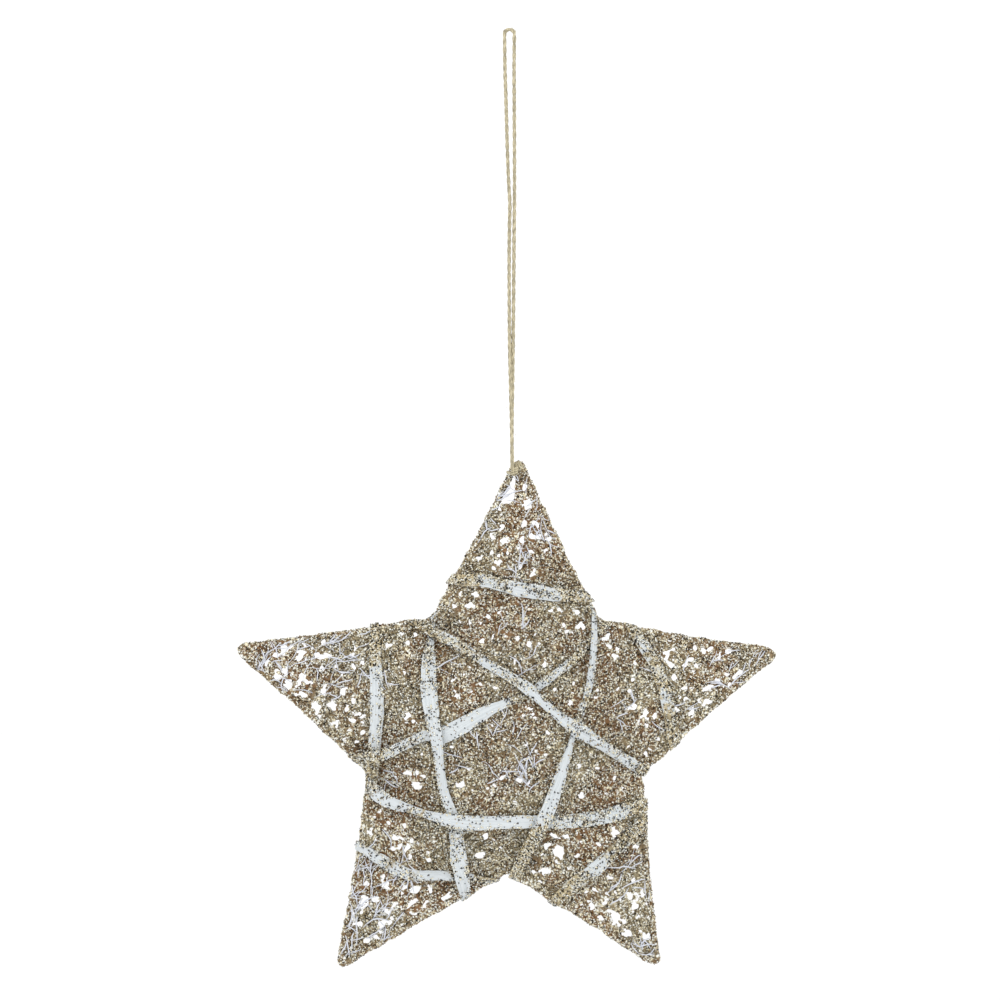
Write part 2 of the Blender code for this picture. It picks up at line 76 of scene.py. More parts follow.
MM = 0.001
CAD_BOX = [list(corner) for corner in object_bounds()]
FRONT, BACK = -1, 1
SIDES = {"front": FRONT, "back": BACK}

# Seeds of the random draws, one for each job.
SEEDS = {
    "rim binding": 3, "felt": 5, "twine": 6, "glitter": 8, "knot": 9, "rim sway": 12, "strips": 14,
    "strands": 20, "fibres": 31, "gaps": 40, "rags": 41,
}

# The wire's path as it shows from the front, clockwise from the top: each tip and inner corner has its own
# angle from straight up and its own share of the reach, because the frame is bent by hand.
TIP_REACH = 103.5 * MM
CORNER_REACH = 51.8 * MM
TIPS = ((2.7, 0.979), (72.5, 1.0), (146.2, 0.960), (216.0, 0.993), (288.4, 1.0))
CORNERS = ((39.0, 1.065), (105.0, 1.0), (179.0, 0.965), (255.0, 1.0), (328.5, 0.994))
ARMS = range(len(TIPS))
TIP_BEND_WIDTH = 3.8 * MM
RIM_WIRE_RADIUS = 0.6 * MM
SPAN_SHARE = 0.33

# Gaps in the web, in pixels of the photograph: the opening under the top tip, and (x, y, width) of others.
TOP_OPENING = ((509, 474), (516, 474), (515, 496), (507, 503), (498, 505))
HOLES = (
    (285, 649, 8), (300, 657, 8), (286, 671, 9), (278, 677, 7), (289, 685, 8), (303, 677, 7), (324, 691, 7),
    (316, 706, 8), (332, 704, 7), (318, 654, 6), (304, 694, 5), (344, 690, 6), (337, 722, 5), (354, 665, 4),
    (353, 720, 5), (376, 727, 4), (409, 714, 5), (330, 655, 3), (334, 640, 3), (363, 716, 3), (370, 700, 3),
    (559, 852, 11), (546, 870, 9), (554, 835, 6), (566, 836, 6), (546, 847, 5), (616, 917, 9), (630, 894, 6),
    (635, 904, 7), (650, 902, 7), (628, 932, 7), (647, 936, 5), (651, 916, 5), (604, 927, 4), (592, 905, 6),
    (600, 917, 5), (624, 922, 4), (652, 935, 4), (608, 893, 4),
    (709, 702, 7), (676, 709, 7), (710, 687, 5), (667, 653, 6), (691, 658, 4), (720, 655, 3), (740, 672, 5),
    (735, 677, 4), (616, 656, 4), (618, 648, 3), (646, 724, 4), (635, 706, 3), (675, 677, 3), (697, 665, 3),
    (480, 855, 10), (416, 890, 9), (417, 786, 8), (410, 905, 5), (408, 773, 7), (396, 838, 5), (400, 845, 4),
    (382, 924, 9), (352, 915, 8), (388, 912, 5), (376, 898, 5), (368, 940, 6), (396, 905, 5), (345, 926, 4),
    (461, 785, 6), (486, 836, 5), (405, 887, 5), (361, 902, 5), (528, 504, 7), (536, 523, 6), (522, 540, 5),
    (502, 778, 6), (520, 780, 5), (492, 790, 4), (582, 795, 4), (618, 709, 3), (417, 773, 4), (502, 528, 4),
    (504, 540, 4), (498, 562, 5), (476, 595, 5), (470, 606, 4),
)

# Paper strips in the order they were wound. Each station is (across, up, width) in millimetres from the
# star's middle. Below them, (share of the front route, how much glitter lies there, from 0 to 1), and then
# which edge is dustier, 1 for the left one as the strip runs, -1 for the right one.
STRIPS = {
    "strip_left_arm": (
        ((-48.6, 38.0, 4.0), (-48.2, 27.6, 4.4), (-47.7, 19.7, 4.8), (-47.5, 9.3, 5.0), (-48.2, 1.5, 4.6)),
        ((0.0, 0.9), (0.2, 0.8), (0.25, 0.3), (0.31, 0.02), (0.62, 0.02), (0.7, 0.5), (0.78, 0.9)),
        1,
    ),
    "strip_top_arm": (
        ((-17.1, 58.8, 4.6), (-8.1, 58.5, 4.4), (-0.7, 56.8, 4.6), (6.0, 55.1, 5.2), (12.7, 54.2, 5.0),
         (17.9, 53.3, 4.6), (27.6, 52.5, 4.6)),
        ((0.0, 0.8), (0.18, 0.75), (0.26, 0.5), (0.38, 0.6), (0.44, 0.04), (0.54, 0.04), (0.6, 0.45),
         (0.78, 0.5), (0.86, 0.85)),
        1,
    ),
    "strip_right_arm": (
        ((50.3, 35.8, 4.4), (55.4, 27.6, 4.4), (58.2, 19.4, 4.4), (61.1, 8.2, 4.6), (62.3, 1.5, 5.2)),
        ((0.0, 0.95), (0.12, 0.6), (0.3, 0.7), (0.4, 0.85), (0.52, 0.6), (0.74, 0.65), (0.82, 0.95)),
        -1,
    ),
    "strip_lower_right_arm": (
        ((18.7, -60.7, 4.8), (23.9, -55.5, 5.2), (29.1, -51.4, 5.2), (34.3, -47.3, 5.2), (39.5, -42.5, 4.8)),
        ((0.0, 0.9), (0.1, 0.8), (0.35, 0.8), (0.42, 0.15), (0.52, 0.1), (0.58, 0.5), (0.68, 0.9)),
        1,
    ),
    "strip_lower_left_arm": (
        ((-56.8, -39.6, 4.2), (-52.4, -41.7, 3.8), (-47.6, -44.3, 4.2), (-42.4, -47.2, 4.8),
         (-37.5, -49.6, 4.2), (-32.0, -50.6, 3.8), (-22.6, -50.8, 3.6), (-13.3, -51.8, 3.0),
         (-6.6, -53.2, 2.8)),
        ((0.0, 0.05), (0.1, 0.1), (0.2, 0.5), (0.42, 0.45), (0.5, 0.04), (0.64, 0.06), (0.72, 0.7),
         (0.82, 0.4), (0.92, 0.8)),
        1,
    ),
    "strip_left_to_upper_right": (
        ((-50.6, -7.1, 4.4), (-46.3, -6.3, 4.2), (-37.5, -2.2, 3.6), (-29.7, 1.5, 3.8), (-23.0, 1.6, 6.0),
         (-11.1, 8.2, 5.6), (-3.3, 12.3, 3.6), (5.7, 15.6, 2.6), (13.1, 20.2, 2.8), (25.4, 29.6, 3.0),
         (31.4, 36.1, 3.2)),
        ((0.0, 0.9), (0.1, 0.7), (0.14, 0.4), (0.24, 0.36), (0.28, 0.02), (0.56, 0.02), (0.6, 0.8),
         (0.66, 0.7), (0.7, 0.35), (0.80, 0.35), (0.84, 0.9)),
        0,
    ),
    "strip_upper_left_to_bottom": (
        ((-27.9, 35.4, 2.8), (-28.4, 29.0, 5.2), (-28.2, 17.8, 6.0), (-26.8, 7.1, 5.2), (-25.2, -1.0, 4.4),
         (-24.4, -8.6, 3.4), (-22.6, -19.0, 3.4), (-19.3, -27.9, 3.6), (-18.3, -33.5, 4.8),
         (-17.2, -45.1, 6.2), (-15.8, -52.9, 5.2)),
        ((0.0, 0.6), (0.05, 0.4), (0.12, 0.45), (0.2, 0.16), (0.3, 0.1), (0.5, 0.04), (0.66, 0.05),
         (0.7, 0.45), (0.84, 0.4), (0.9, 0.1), (1.0, 0.3)),
        0,
    ),
    "strip_left_to_right": (
        ((-50.6, -18.2, 6.4), (-45.0, -22.4, 5.0), (-39.4, -24.6, 4.0), (-30.0, -27.2, 2.8),
         (-24.0, -29.0, 4.4), (-15.0, -30.4, 5.4), (-9.6, -30.6, 5.2), (-2.2, -30.4, 4.8),
         (7.0, -30.2, 4.8), (14.0, -30.2, 4.4), (20.2, -30.4, 5.0), (35.0, -29.2, 5.2), (46.6, -26.4, 5.8)),
        ((0.0, 0.5), (0.04, 0.28), (0.13, 0.15), (0.18, 0.6), (0.24, 0.5), (0.28, 0.06), (0.6, 0.06),
         (0.66, 0.3), (0.76, 0.48), (0.86, 0.42), (0.9, 0.3), (0.94, 0.5), (0.97, 0.95)),
        0,
    ),
    "strip_upper_right_to_bottom": (
        ((33.0, 43.6, 2.2), (32.9, 35.8, 2.4), (31.9, 25.3, 2.6), (30.4, 17.5, 2.4), (27.8, 9.7, 2.6),
         (24.5, 0.2, 1.8), (22.9, -5.2, 2.8), (20.2, -13.4, 4.4), (17.2, -22.1, 5.0), (13.4, -31.0, 5.2),
         (8.3, -41.0, 5.0), (5.1, -47.7, 4.8)),
        ((0.0, 0.4), (0.04, 0.1), (0.22, 0.2), (0.3, 0.5), (0.4, 0.7), (0.44, 0.1), (0.48, 0.02),
         (0.72, 0.02), (0.78, 0.5), (0.84, 0.9)),
        0,
    ),
    "strip_upper_left_to_right": (
        ((-23.8, 38.0, 4.0), (-15.0, 33.4, 3.6), (-5.8, 27.4, 3.2), (1.2, 23.6, 3.6), (8.4, 18.9, 4.4),
         (13.1, 14.6, 3.2), (20.2, 8.4, 3.6), (27.0, 3.6, 5.6), (34.6, -1.3, 4.2), (42.5, -6.7, 3.8),
         (50.0, -11.5, 4.8)),
        ((0.0, 0.95), (0.08, 0.85), (0.14, 0.65), (0.26, 0.5), (0.3, 0.2), (0.38, 0.45), (0.46, 0.4),
         (0.5, 0.03), (0.66, 0.05), (0.72, 0.34), (0.78, 0.12), (0.9, 0.2), (0.95, 0.5), (1.0, 0.95)),
        1,
    ),
}

# Loose fibres that the glitter missed: (across, up, spread across, spread up, angle, how many, length), in
# millimetres from the star's middle and degrees anticlockwise from +X.
BARE_PATCHES = (
    (-76.0, 26.0, 12.0, 6.0, 20.0, 14, 15.0),
    (-60.0, 24.0, 9.0, 6.0, -15.0, 8, 14.0),
    (-76.0, 14.0, 7.0, 6.0, 60.0, 5, 9.0),
    (6.0, 56.0, 2.5, 9.0, 85.0, 7, 11.0),
    (6.0, 92.0, 3.0, 4.0, 60.0, 3, 5.0),
    (4.0, 38.0, 3.0, 8.0, 82.0, 7, 10.0),
    (0.0, -3.0, 2.5, 5.0, 80.0, 6, 8.0),
    (9.0, -11.0, 1.4, 5.0, 98.0, 12, 9.0),
    (0.0, -12.0, 5.0, 4.0, 112.0, 4, 8.0),
    (-10.0, -4.0, 3.0, 5.0, 118.0, 4, 8.0),
    (84.0, 22.0, 6.0, 7.0, 80.0, 9, 11.0),
    (62.0, 20.0, 7.0, 7.0, 60.0, 6, 9.0),
    (44.0, 10.0, 6.0, 3.0, 25.0, 4, 9.0),
    (-53.0, -62.0, 8.0, 11.0, 60.0, 24, 13.0),
    (-38.0, -46.0, 5.0, 5.0, -60.0, 5, 9.0),
    (42.0, -52.0, 8.0, 6.0, 20.0, 9, 13.0),
    (54.0, -66.0, 3.0, 10.0, 75.0, 6, 10.0),
    (-46.0, -14.0, 5.0, 4.0, 40.0, 5, 8.0),
    (13.0, 84.0, 2.0, 6.0, -62.0, 8, 11.0),
    (-9.0, 80.0, 2.0, 5.0, 64.0, 6, 9.0),
    (-1.0, 89.0, 3.0, 1.5, 20.0, 7, 8.0),
    (-16.0, 76.0, 2.0, 3.0, 60.0, 3, 7.0),
    (-60.0, -76.0, 2.5, 8.0, 80.0, 14, 10.0),
    (-50.0, -78.0, 6.0, 2.5, 30.0, 9, 9.0),
    (-57.0, -56.0, 2.0, 8.0, 78.0, 7, 12.0),
    (50.0, -76.0, 5.0, 3.0, -35.0, 6, 9.0),
    (90.0, 16.0, 5.0, 2.0, 35.0, 6, 8.0),
    (-90.0, 26.0, 3.0, 4.0, 70.0, 6, 8.0),
    (-66.0, 35.0, 7.0, 1.0, 8.0, 5, 11.0),
)

# The twine's route in millimetres from the origin: up the left leg, then down the right one.
LEFT_LEG = (
    (0.97, -4.10, -162.9), (0.93, -3.95, -157.7), (0.80, -3.60, -148.4), (0.62, -3.25, -141.0),
    (0.35, -2.75, -130.0), (0.02, -2.00, -115.0), (-0.11, -1.50, -100.0), (-0.14, -1.15, -85.0),
    (-0.05, -0.90, -74.0), (0.12, -0.75, -64.5), (-0.22, -0.65, -58.0), (-0.50, -0.55, -52.0),
    (-0.80, -0.45, -44.0), (-1.10, -0.35, -33.0), (-1.35, -0.25, -24.0), (-1.68, -0.12, -14.0),
)
RIGHT_LEG = (
    (1.72, -0.10, -14.0), (1.78, -0.20, -26.0), (1.86, -0.35, -44.0), (1.86, -0.55, -63.0),
    (1.74, -0.80, -75.0), (1.62, -1.05, -90.0), (1.50, -1.35, -105.0), (1.30, -1.70, -120.0),
    (1.15, -2.05, -132.0), (1.00, -2.25, -141.0), (0.92, -2.40, -149.0), (0.95, -2.60, -156.0),
    (1.04, -2.80, -162.9),
)
LOOP_WIDTH = 3.6 * MM

PHOTO_SIZE = 1000
PHOTO_SCALE = 0.3724 * MM  # of one pixel at the star
PHOTO_STAR_MIDDLE = (505.8, 737.0)
PHOTO_ORIGIN = (509.5, 31.5)
LENS = 150.0
SENSOR = 36.0
VIEW_AXIS = np.array((PHOTO_SIZE / 2 - PHOTO_ORIGIN[0], PHOTO_ORIGIN[1] - PHOTO_SIZE / 2)) * PHOTO_SCALE
VIEW_DISTANCE = PHOTO_SIZE * PHOTO_SCALE * LENS / SENSOR


def from_display(red, green, blue):
    """A colour given as it shows on a screen, from 0 to 255, in the shader's linear values."""
    shown = (value / 255 for value in (red, green, blue))
    return tuple(value / 12.92 if value <= 0.04045 else ((value + 0.055) / 1.055) ** 2.4 for value in shown)


def length_property(name, description, millimetres):
    """A length whose default is given in millimetres."""
    return FloatProperty(name=name, description=description, default=millimetres * MM, unit="LENGTH")


def colour_property(name, description, *shown):
    """A colour whose default is given as it shows on a screen, from 0 to 255."""
    default = from_display(*shown)
    return FloatVectorProperty(name=name, description=description, subtype="COLOR", size=3, default=default)


class StarSizes(bpy.types.PropertyGroup):
    thread_radius: length_property("Thread radius", "Radius of one wound thread", 0.34)
    rim_radius: length_property("Rim radius", "Radius of the bound rim wire", 1.1)
    fibre_radius: length_property("Bare fibre radius", "Radius of a fibre without glitter", 0.25)
    flake_size: length_property("Flake size", "Typical width of a glitter flake", 0.82)
    strip_thickness: length_property("Strip thickness", "Thickness of the paper strips", 0.3)
    twine_diameter: length_property("Twine diameter", "Outer diameter of the twisted twine", 1.5)
    twine_pitch: length_property("Twine pitch", "Length of one full turn of the plies", 6.5)
    floor_drop: length_property("Floor drop", "How far below the star the floor lies", 80)
    flakes_per_piece: IntProperty(
        name="Flakes per piece", description="How many glitter flakes each piece of the web carries",
        default=30000,
    )


class StarColours(bpy.types.PropertyGroup):
    # The flakes' colours paint the light on them: glint a painted highlight, champagne pale gold with painted
    # light, brown painted shade, speck a painted dark reflection.
    glint: colour_property("Glint", "Flakes that catch the light", 255, 255, 246)
    champagne: colour_property("Champagne", "Pale gold flakes", 246, 237, 208)
    gold: colour_property("Gold", "Mid gold flakes", 158, 136, 98)
    brown: colour_property("Brown", "Flakes turned from the light", 110, 86, 56)
    speck: colour_property("Speck", "Darkest flakes", 26, 23, 17)
    felt: colour_property("Felt", "Matted fibre under the glitter", 132, 98, 62)
    khaki: colour_property("Khaki", "Fibre where glue and dust lie thick", 148, 136, 107)
    bare_fibre: colour_property("Bare fibre", "Fibre without glitter", 230, 233, 242)
    paper: colour_property("Paper", "Paper strips", 221, 226, 228)
    twine: colour_property("Twine", "Cream twine", 196, 186, 156)
    wire: colour_property("Wire", "Iron wire under glitter dust", 168, 154, 128)


def draws_for(job, more=0):
    """The random draws of one job, or of one side of it."""
    return np.random.default_rng(SEEDS[job] + more)


# Shader maths

BLACK, WHITE = (0.0, 0.0, 0.0), (1.0, 1.0, 1.0)


class Value:
    """One output of a material's nodes, which sums and products turn into Math nodes."""

    def __init__(self, paint, socket):
        self.paint = paint
        self.socket = socket

    def _math(self, operation, first, second):
        return self.paint.node("ShaderNodeMath", {"operation": operation}, {0: first, 1: second})

    def __add__(self, other):
        return self._math("ADD", self, other)

    def __radd__(self, other):
        return self._math("ADD", other, self)

    def __sub__(self, other):
        return self._math("SUBTRACT", self, other)

    def __rsub__(self, other):
        return self._math("SUBTRACT", other, self)

    def __mul__(self, other):
        return self._math("MULTIPLY", self, other)

    def __rmul__(self, other):
        return self._math("MULTIPLY", other, self)


class Paint:
    """A material that is built up node by node round one Principled BSDF."""

    def __init__(self, name, **constants):
        self.material = bpy.data.materials.new(name)
        self.material.use_nodes = True
        self.tree = self.material.node_tree
        self.shader = self.tree.nodes["Principled BSDF"]
        for socket, value in constants.items():
            self.shader.inputs[socket.replace("_", " ")].default_value = value

    def node(self, kind, settings=None, inputs=None, output=0):
        """A new node's output, with its settings made first and its sockets filled after."""
        made = self.tree.nodes.new(kind)
        for name, setting in (settings or {}).items():
            if name == "stops":
                self._fill_ramp(made.color_ramp, setting)
            else:
                setattr(made, name, setting)
        for name, value in (inputs or {}).items():
            self.connect(value, made.inputs[name])
        return Value(self, made.outputs[output])

    def connect(self, value, socket):
        """Links a value to a socket, or sets the socket to a plain number, colour or vector."""
        if isinstance(value, Value):
            self.tree.links.new(value.socket, socket)
        elif hasattr(socket.default_value, "__len__") and len(value) == 3 and len(socket.default_value) == 4:
            socket.default_value = (*value, 1.0)
        else:
            socket.default_value = value

    def _fill_ramp(self, ramp, stops):
        """Two stops blend into each other, and more of them make bands."""
        ramp.interpolation = "CONSTANT" if len(stops) > 2 else "LINEAR"
        while len(ramp.elements) < len(stops):
            ramp.elements.new(1.0)
        for element, (place, colour) in zip(ramp.elements, stops):
            element.position = place
            element.color = (*colour, 1.0)

    def drive(self, socket, value):
        """Feeds one of the shader's own sockets."""
        self.connect(value, self.shader.inputs[socket])

    def place(self):
        """Object coordinates."""
        return self.node("ShaderNodeTexCoord", output="Object")

    def attribute(self, name):
        return self.node("ShaderNodeAttribute", {"attribute_name": name}, output="Fac")

    def noise(self, place, scale, detail=2.0, output="Fac"):
        inputs = {"Vector": place, "Scale": scale, "Detail": detail}
        return self.node("ShaderNodeTexNoise", None, inputs, output)

    def mixed(self, share, first, second, blend="MIX"):
        settings = {"data_type": "RGBA", "blend_type": blend}
        return self.node("ShaderNodeMix", settings, {0: share, 6: first, 7: second}, output=2)

    def ramp(self, share, stops):
        return self.node("ShaderNodeValToRGB", {"stops": stops}, {"Fac": share})

    def fade(self, value, low, high, most=WHITE):
        """Black up to the low value, then rising to the most at the high one."""
        return self.ramp(value, ((low, BLACK), (high, most)))

    def stretched(self, place, scale, turn=0.0):
        """A pattern's place, scaled along each axis and turned about Y."""
        inputs = {"Vector": place, "Rotation": (0, turn, 0), "Scale": scale}
        return self.node("ShaderNodeMapping", None, inputs)

    def bump(self, height, distance):
        return self.node("ShaderNodeBump", None, {"Height": height, "Distance": distance})


# Tones of the flakes run from 0, the darkest, to 1, the palest: each tone is painted light and shade, the
# dark flakes painted shade and dark reflections, the pale ones painted glints.
DARKEST_MID = 0.26
BRIGHT = 0.58  # from which a flake is pale, a painted glint

# Patterns on Object coordinates, in repeats to the metre.
DUST_SCALE = 1700.0
DRIFT_SCALE = 55.0
DUST_CLOUD_SCALE = 600.0
FIBRE_SCALE = 700.0
PAPER_EDGE_SCALE = 900.0
STROKE_SCALE = 2200.0
HAIR_SCALE = 3000.0
WIRE_SCALE = 900.0

# Patterns on a strip's own UV map, in repeats along and across it.
GRAIN_REPEATS = (16, 9, 1)
STREAK_REPEATS = (30, 3, 1)
PAPER_SHADE = (0.66, 0.70, 0.73)

FELT_RELIEF = 0.12 * MM
PAPER_RELIEF = 0.22 * MM
TWINE_RELIEF = 0.15 * MM
MOST_DUST = (0.6, 0.6, 0.6)


def toned(colour, share):
    """A colour made darker, or paler with a share above 1."""
    return tuple(min(1.0, share * value) for value in colour)


def glitter_stops(colours):
    """The five tones of the flakes, each from its own value of the tone upwards: painted dark reflection,
    painted shade, mid gold, pale gold with painted light, and painted glint.
    """
    return (
        (0.0, colours.speck),
        (DARKEST_MID, colours.brown),
        (0.40, colours.gold),
        (0.56, colours.champagne),
        (0.76, colours.glint),
    )


def paint_flakes(colours):
    """Flakes of five tones of painted light and shade, the palest ones the glossiest."""
    paint = Paint("champagne_glitter", Metallic=0.25)
    # Painted light and shade: each flake's colour comes from its tone.
    paint.drive("Base Color", paint.ramp(paint.attribute("tone"), glitter_stops(colours)))
    paint.drive("Roughness", 0.55 - 0.3 * paint.attribute("tone"))
    return paint.material


def felted(paint, place, first, second, colours):
    """Fibre that changes between two colours over the star, flecked with fine glitter dust in the flakes'
    tones, painted glints and painted shade among them.
    """
    cells = paint.node("ShaderNodeTexVoronoi", None, {"Vector": place, "Scale": DUST_SCALE}, "Color")
    tone = paint.node("ShaderNodeSeparateColor", None, {"Color": cells}, "Red")
    # The flecks take the flakes' tones, with painted glints and painted shade among them.
    flecks = paint.ramp(tone, glitter_stops(colours))
    drift = paint.fade(paint.noise(place, DRIFT_SCALE, 3.0), 0.42, 0.58)
    fibre = paint.mixed(drift, first, second)
    share = paint.fade(paint.noise(place, DUST_CLOUD_SCALE, 1.0), 0.42, 0.60, MOST_DUST)
    return paint.mixed(share, fibre, flecks), tone


def paint_felt(name, first, second, colours):
    """Matted fibre with glue and fine glitter dust."""
    paint = Paint(name, Metallic=0.1)
    base, tone = felted(paint, paint.place(), first, second, colours)
    paint.drive("Base Color", base)
    paint.drive("Roughness", 0.8 - 0.25 * tone)
    paint.drive("Normal", paint.bump(tone, FELT_RELIEF))
    return paint.material


def paint_fibre(colours):
    """Pale fibre without glitter, in faint clouds."""
    paint = Paint("bare_fibre", Roughness=0.6)
    cloud = paint.noise(paint.place(), FIBRE_SCALE)
    paint.drive("Base Color", paint.mixed(cloud, toned(colours.bare_fibre, 0.84), colours.bare_fibre))
    return paint.material


def paint_paper(colours):
    """White paper with a grain along the strip, which turns to dusted fibre where the glitter lies thick."""
    paint = Paint("white_paper_strip")
    along = paint.node("ShaderNodeTexCoord", output="UV")
    grain = paint.noise(paint.stretched(along, GRAIN_REPEATS), 1.0, 6.0)
    streak = paint.noise(paint.stretched(along, STREAK_REPEATS), 1.0, 3.0)
    shade = paint.ramp(grain, ((0.36, PAPER_SHADE), (0.62, WHITE)))
    paper = paint.mixed(0.55, colours.paper, shade, "MULTIPLY")
    place = paint.place()
    dusted, _ = felted(paint, place, colours.khaki, toned(colours.khaki, 1.9), colours)
    edge = paint.attribute("dusting") + 0.5 * paint.noise(place, PAPER_EDGE_SCALE)
    paint.drive("Base Color", paint.mixed(paint.fade(edge, 0.76, 1.0), paper, dusted))
    paint.drive("Roughness", 0.55 + 0.3 * streak)
    paint.drive("Normal", paint.bump(grain + 0.8 * streak, PAPER_RELIEF))
    return paint.material


def paint_twine(colours):
    """Cream twine: long fibre marks in painted shade and painted light, and painted shade in the grooves
    where the plies meet.
    """
    paint = Paint("twisted_cream_twine", Roughness=0.85)
    place = paint.place()
    strokes = paint.noise(paint.stretched(place, (1, 1, 0.2), 0.3), STROKE_SCALE)
    hairs = paint.noise(place, HAIR_SCALE)
    # Painted shade and painted light: darker and paler copies of the twine's colour.
    shadow = toned(colours.twine, 0.52)
    marked = paint.mixed(paint.fade(strokes, 0.38, 0.60), shadow, toned(colours.twine, 1.18))
    marked = paint.mixed(0.35 * hairs, marked, colours.twine)
    # Painted shade in the grooves between the plies.
    paint.drive("Base Color", paint.mixed(0.7 * paint.attribute("groove"), marked, shadow))
    paint.drive("Normal", paint.bump(strokes + 0.5 * hairs, TWINE_RELIEF))
    return paint.material


def paint_wire(colours):
    """Iron wire, clouded with glue and dust."""
    paint = Paint("dusted_iron_wire", Metallic=0.2)
    cloud = paint.noise(paint.place(), WIRE_SCALE, 4.0)
    paint.drive("Base Color", paint.mixed(cloud, toned(colours.wire, 0.5), colours.wire))
    paint.drive("Roughness", 0.35 + 0.3 * cloud)
    return paint.material


# The star's form

def on_face(reach, clockwise_degrees):
    """(across, up) at a reach and an angle from straight up."""
    angle = math.radians(clockwise_degrees)
    return np.array((math.sin(angle), math.cos(angle))) * reach


def tip_points(arm):
    """The two ends of the wire's bend at a tip."""
    angle, share = TIPS[arm]
    middle = on_face(TIP_REACH * share, angle)
    half_bend = on_face(TIP_BEND_WIDTH / 2, angle + 90)
    return middle - half_bend, middle + half_bend


def tip_middle(arm):
    """The middle of the wire's bend at a tip."""
    return sum(tip_points(arm)) / 2


def corner_point(arm):
    """The inner corner between an arm and the next one."""
    angle, share = CORNERS[arm % len(CORNERS)]
    return on_face(CORNER_REACH * share, angle)


def outline():
    """The wire's path as a closed row of points."""
    path = []
    for arm in ARMS:
        path += [*tip_points(arm), corner_point(arm)]
    return np.array(path)


def star_middle():
    """The star's middle in the frame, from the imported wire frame's box."""
    low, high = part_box("wire_frame")
    path = outline()
    right = high.x - RIM_WIRE_RADIUS - path[:, 0].max()
    up = high.z - RIM_WIRE_RADIUS - path[:, 1].max()
    return Vector((right, (low.y + high.y) / 2, up))


OUTLINE = outline()
MIDDLE = star_middle()
PEAK = (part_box("wire_frame")[1].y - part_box("wire_frame")[0].y) / 2 - RIM_WIRE_RADIUS


def in_frame(flat, height, side):
    """Star coordinates (across, up) and a height above the middle plane as a point of the frame."""
    return Vector((MIDDLE.x + flat[0], MIDDLE.y + side * height, MIDDLE.z + flat[1]))


def form_mesh(side):
    """The form that the wires span on one side: a low pyramid on each arm, bridged round the middle."""
    shape = bmesh.new()

    def point(flat, height):
        return shape.verts.new(in_frame(flat, height, side))

    peak = point((0, 0), PEAK)
    ridges = []
    for arm in ARMS:
        ridges.append(point(tip_middle(arm) * SPAN_SHARE, PEAK * (1 - SPAN_SHARE)))
    tips = [[point(end, 0) for end in tip_points(arm)] for arm in ARMS]
    corners = [point(corner_point(arm), 0) for arm in ARMS]
    for arm in ARMS:
        after = (arm + 1) % len(TIPS)
        shape.faces.new((peak, ridges[arm], ridges[after]))
        shape.faces.new((ridges[arm], corners[arm], ridges[after]))
        shape.faces.new((ridges[arm], *tips[arm]))
        shape.faces.new((ridges[arm], tips[arm][1], corners[arm]))
        shape.faces.new((ridges[arm], corners[arm - 1], tips[arm][0]))
    return shape


def surface_of(shape):
    """The shape as a surface for rays, which uses the shape up."""
    surface = BVHTree.FromBMesh(shape)
    shape.free()
    return surface


FORMS = {side: surface_of(form_mesh(side)) for side in (FRONT, BACK)}


def height_over(surfaces, flat, side):
    """How far the outermost surface stands from the middle plane on one side, or None beside them all."""
    start = in_frame(flat, 2 * PEAK, side)
    hits = [surface.ray_cast(start, Vector((0, -side, 0)))[0] for surface in surfaces]
    heights = [side * (hit.y - MIDDLE.y) for hit in hits if hit is not None]
    return max(heights) if heights else None


def form_height(flat, side):
    """How high the bare form stands over a point on one side, which is nothing beside the star."""
    return height_over([FORMS[side]], flat, side) or 0.0


def unit(vectors):
    """The same directions, each with a length of one."""
    return vectors / np.linalg.norm(vectors, axis=1)[:, None]


def edges_of(path):
    """(start, end) of each edge of a closed path."""
    return zip(path, np.roll(path, -1, axis=0))


def inside(points, path):
    """Which of the (across, up) points lie inside the closed path."""
    result = np.zeros(len(points), bool)
    for start, end in edges_of(path):
        spans = (start[1] > points[:, 1]) != (end[1] > points[:, 1])
        if not spans.any():
            continue
        crossing = start[0] + (points[:, 1] - start[1]) * (end[0] - start[0]) / (end[1] - start[1])
        result ^= spans & (points[:, 0] < crossing)
    return result


# Meshes

TUBE_MERGING = 0.002 * MM


def add_piece(name, material, replaced=()):
    """Names the selected new object as a piece of the root body and gives it its finish."""
    piece = bpy.context.object
    piece.name = piece.data.name = name
    piece.data.materials.clear()
    piece.data.materials.append(material)
    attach(piece, "root")
    if replaced:
        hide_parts(*replaced)
    return piece


def add_web_piece(name, material):
    """Adds a piece of the glittered web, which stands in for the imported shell."""
    return add_piece(name, material, ("fibre_shell",))


def link(piece):
    """Puts a new object into the scene, alone selected and active."""
    bpy.ops.object.select_all(action="DESELECT")
    bpy.context.scene.collection.objects.link(piece)
    bpy.context.view_layer.objects.active = piece
    piece.select_set(True)
    return piece


def join(first, second):
    """Makes two objects one, which keeps the first one's place in the scene."""
    bpy.ops.object.select_all(action="DESELECT")
    first.select_set(True)
    second.select_set(True)
    bpy.context.view_layer.objects.active = first
    bpy.ops.object.join()


def merge_doubles(distance):
    """Merges the active mesh's double corners and turns its faces outwards."""
    bpy.ops.object.mode_set(mode="EDIT")
    bpy.ops.mesh.select_all(action="SELECT")
    bpy.ops.mesh.remove_doubles(threshold=distance)
    bpy.ops.mesh.normals_make_consistent(inside=False)
    bpy.ops.object.mode_set(mode="OBJECT")


def thicken(sheet, thickness):
    """Gives a sheet its thickness, inwards from its own face."""
    wall = sheet.modifiers.new("wall", "SOLIDIFY")
    wall.thickness = thickness
    wall.offset = -1.0
    bpy.ops.object.modifier_apply(modifier=wall.name)


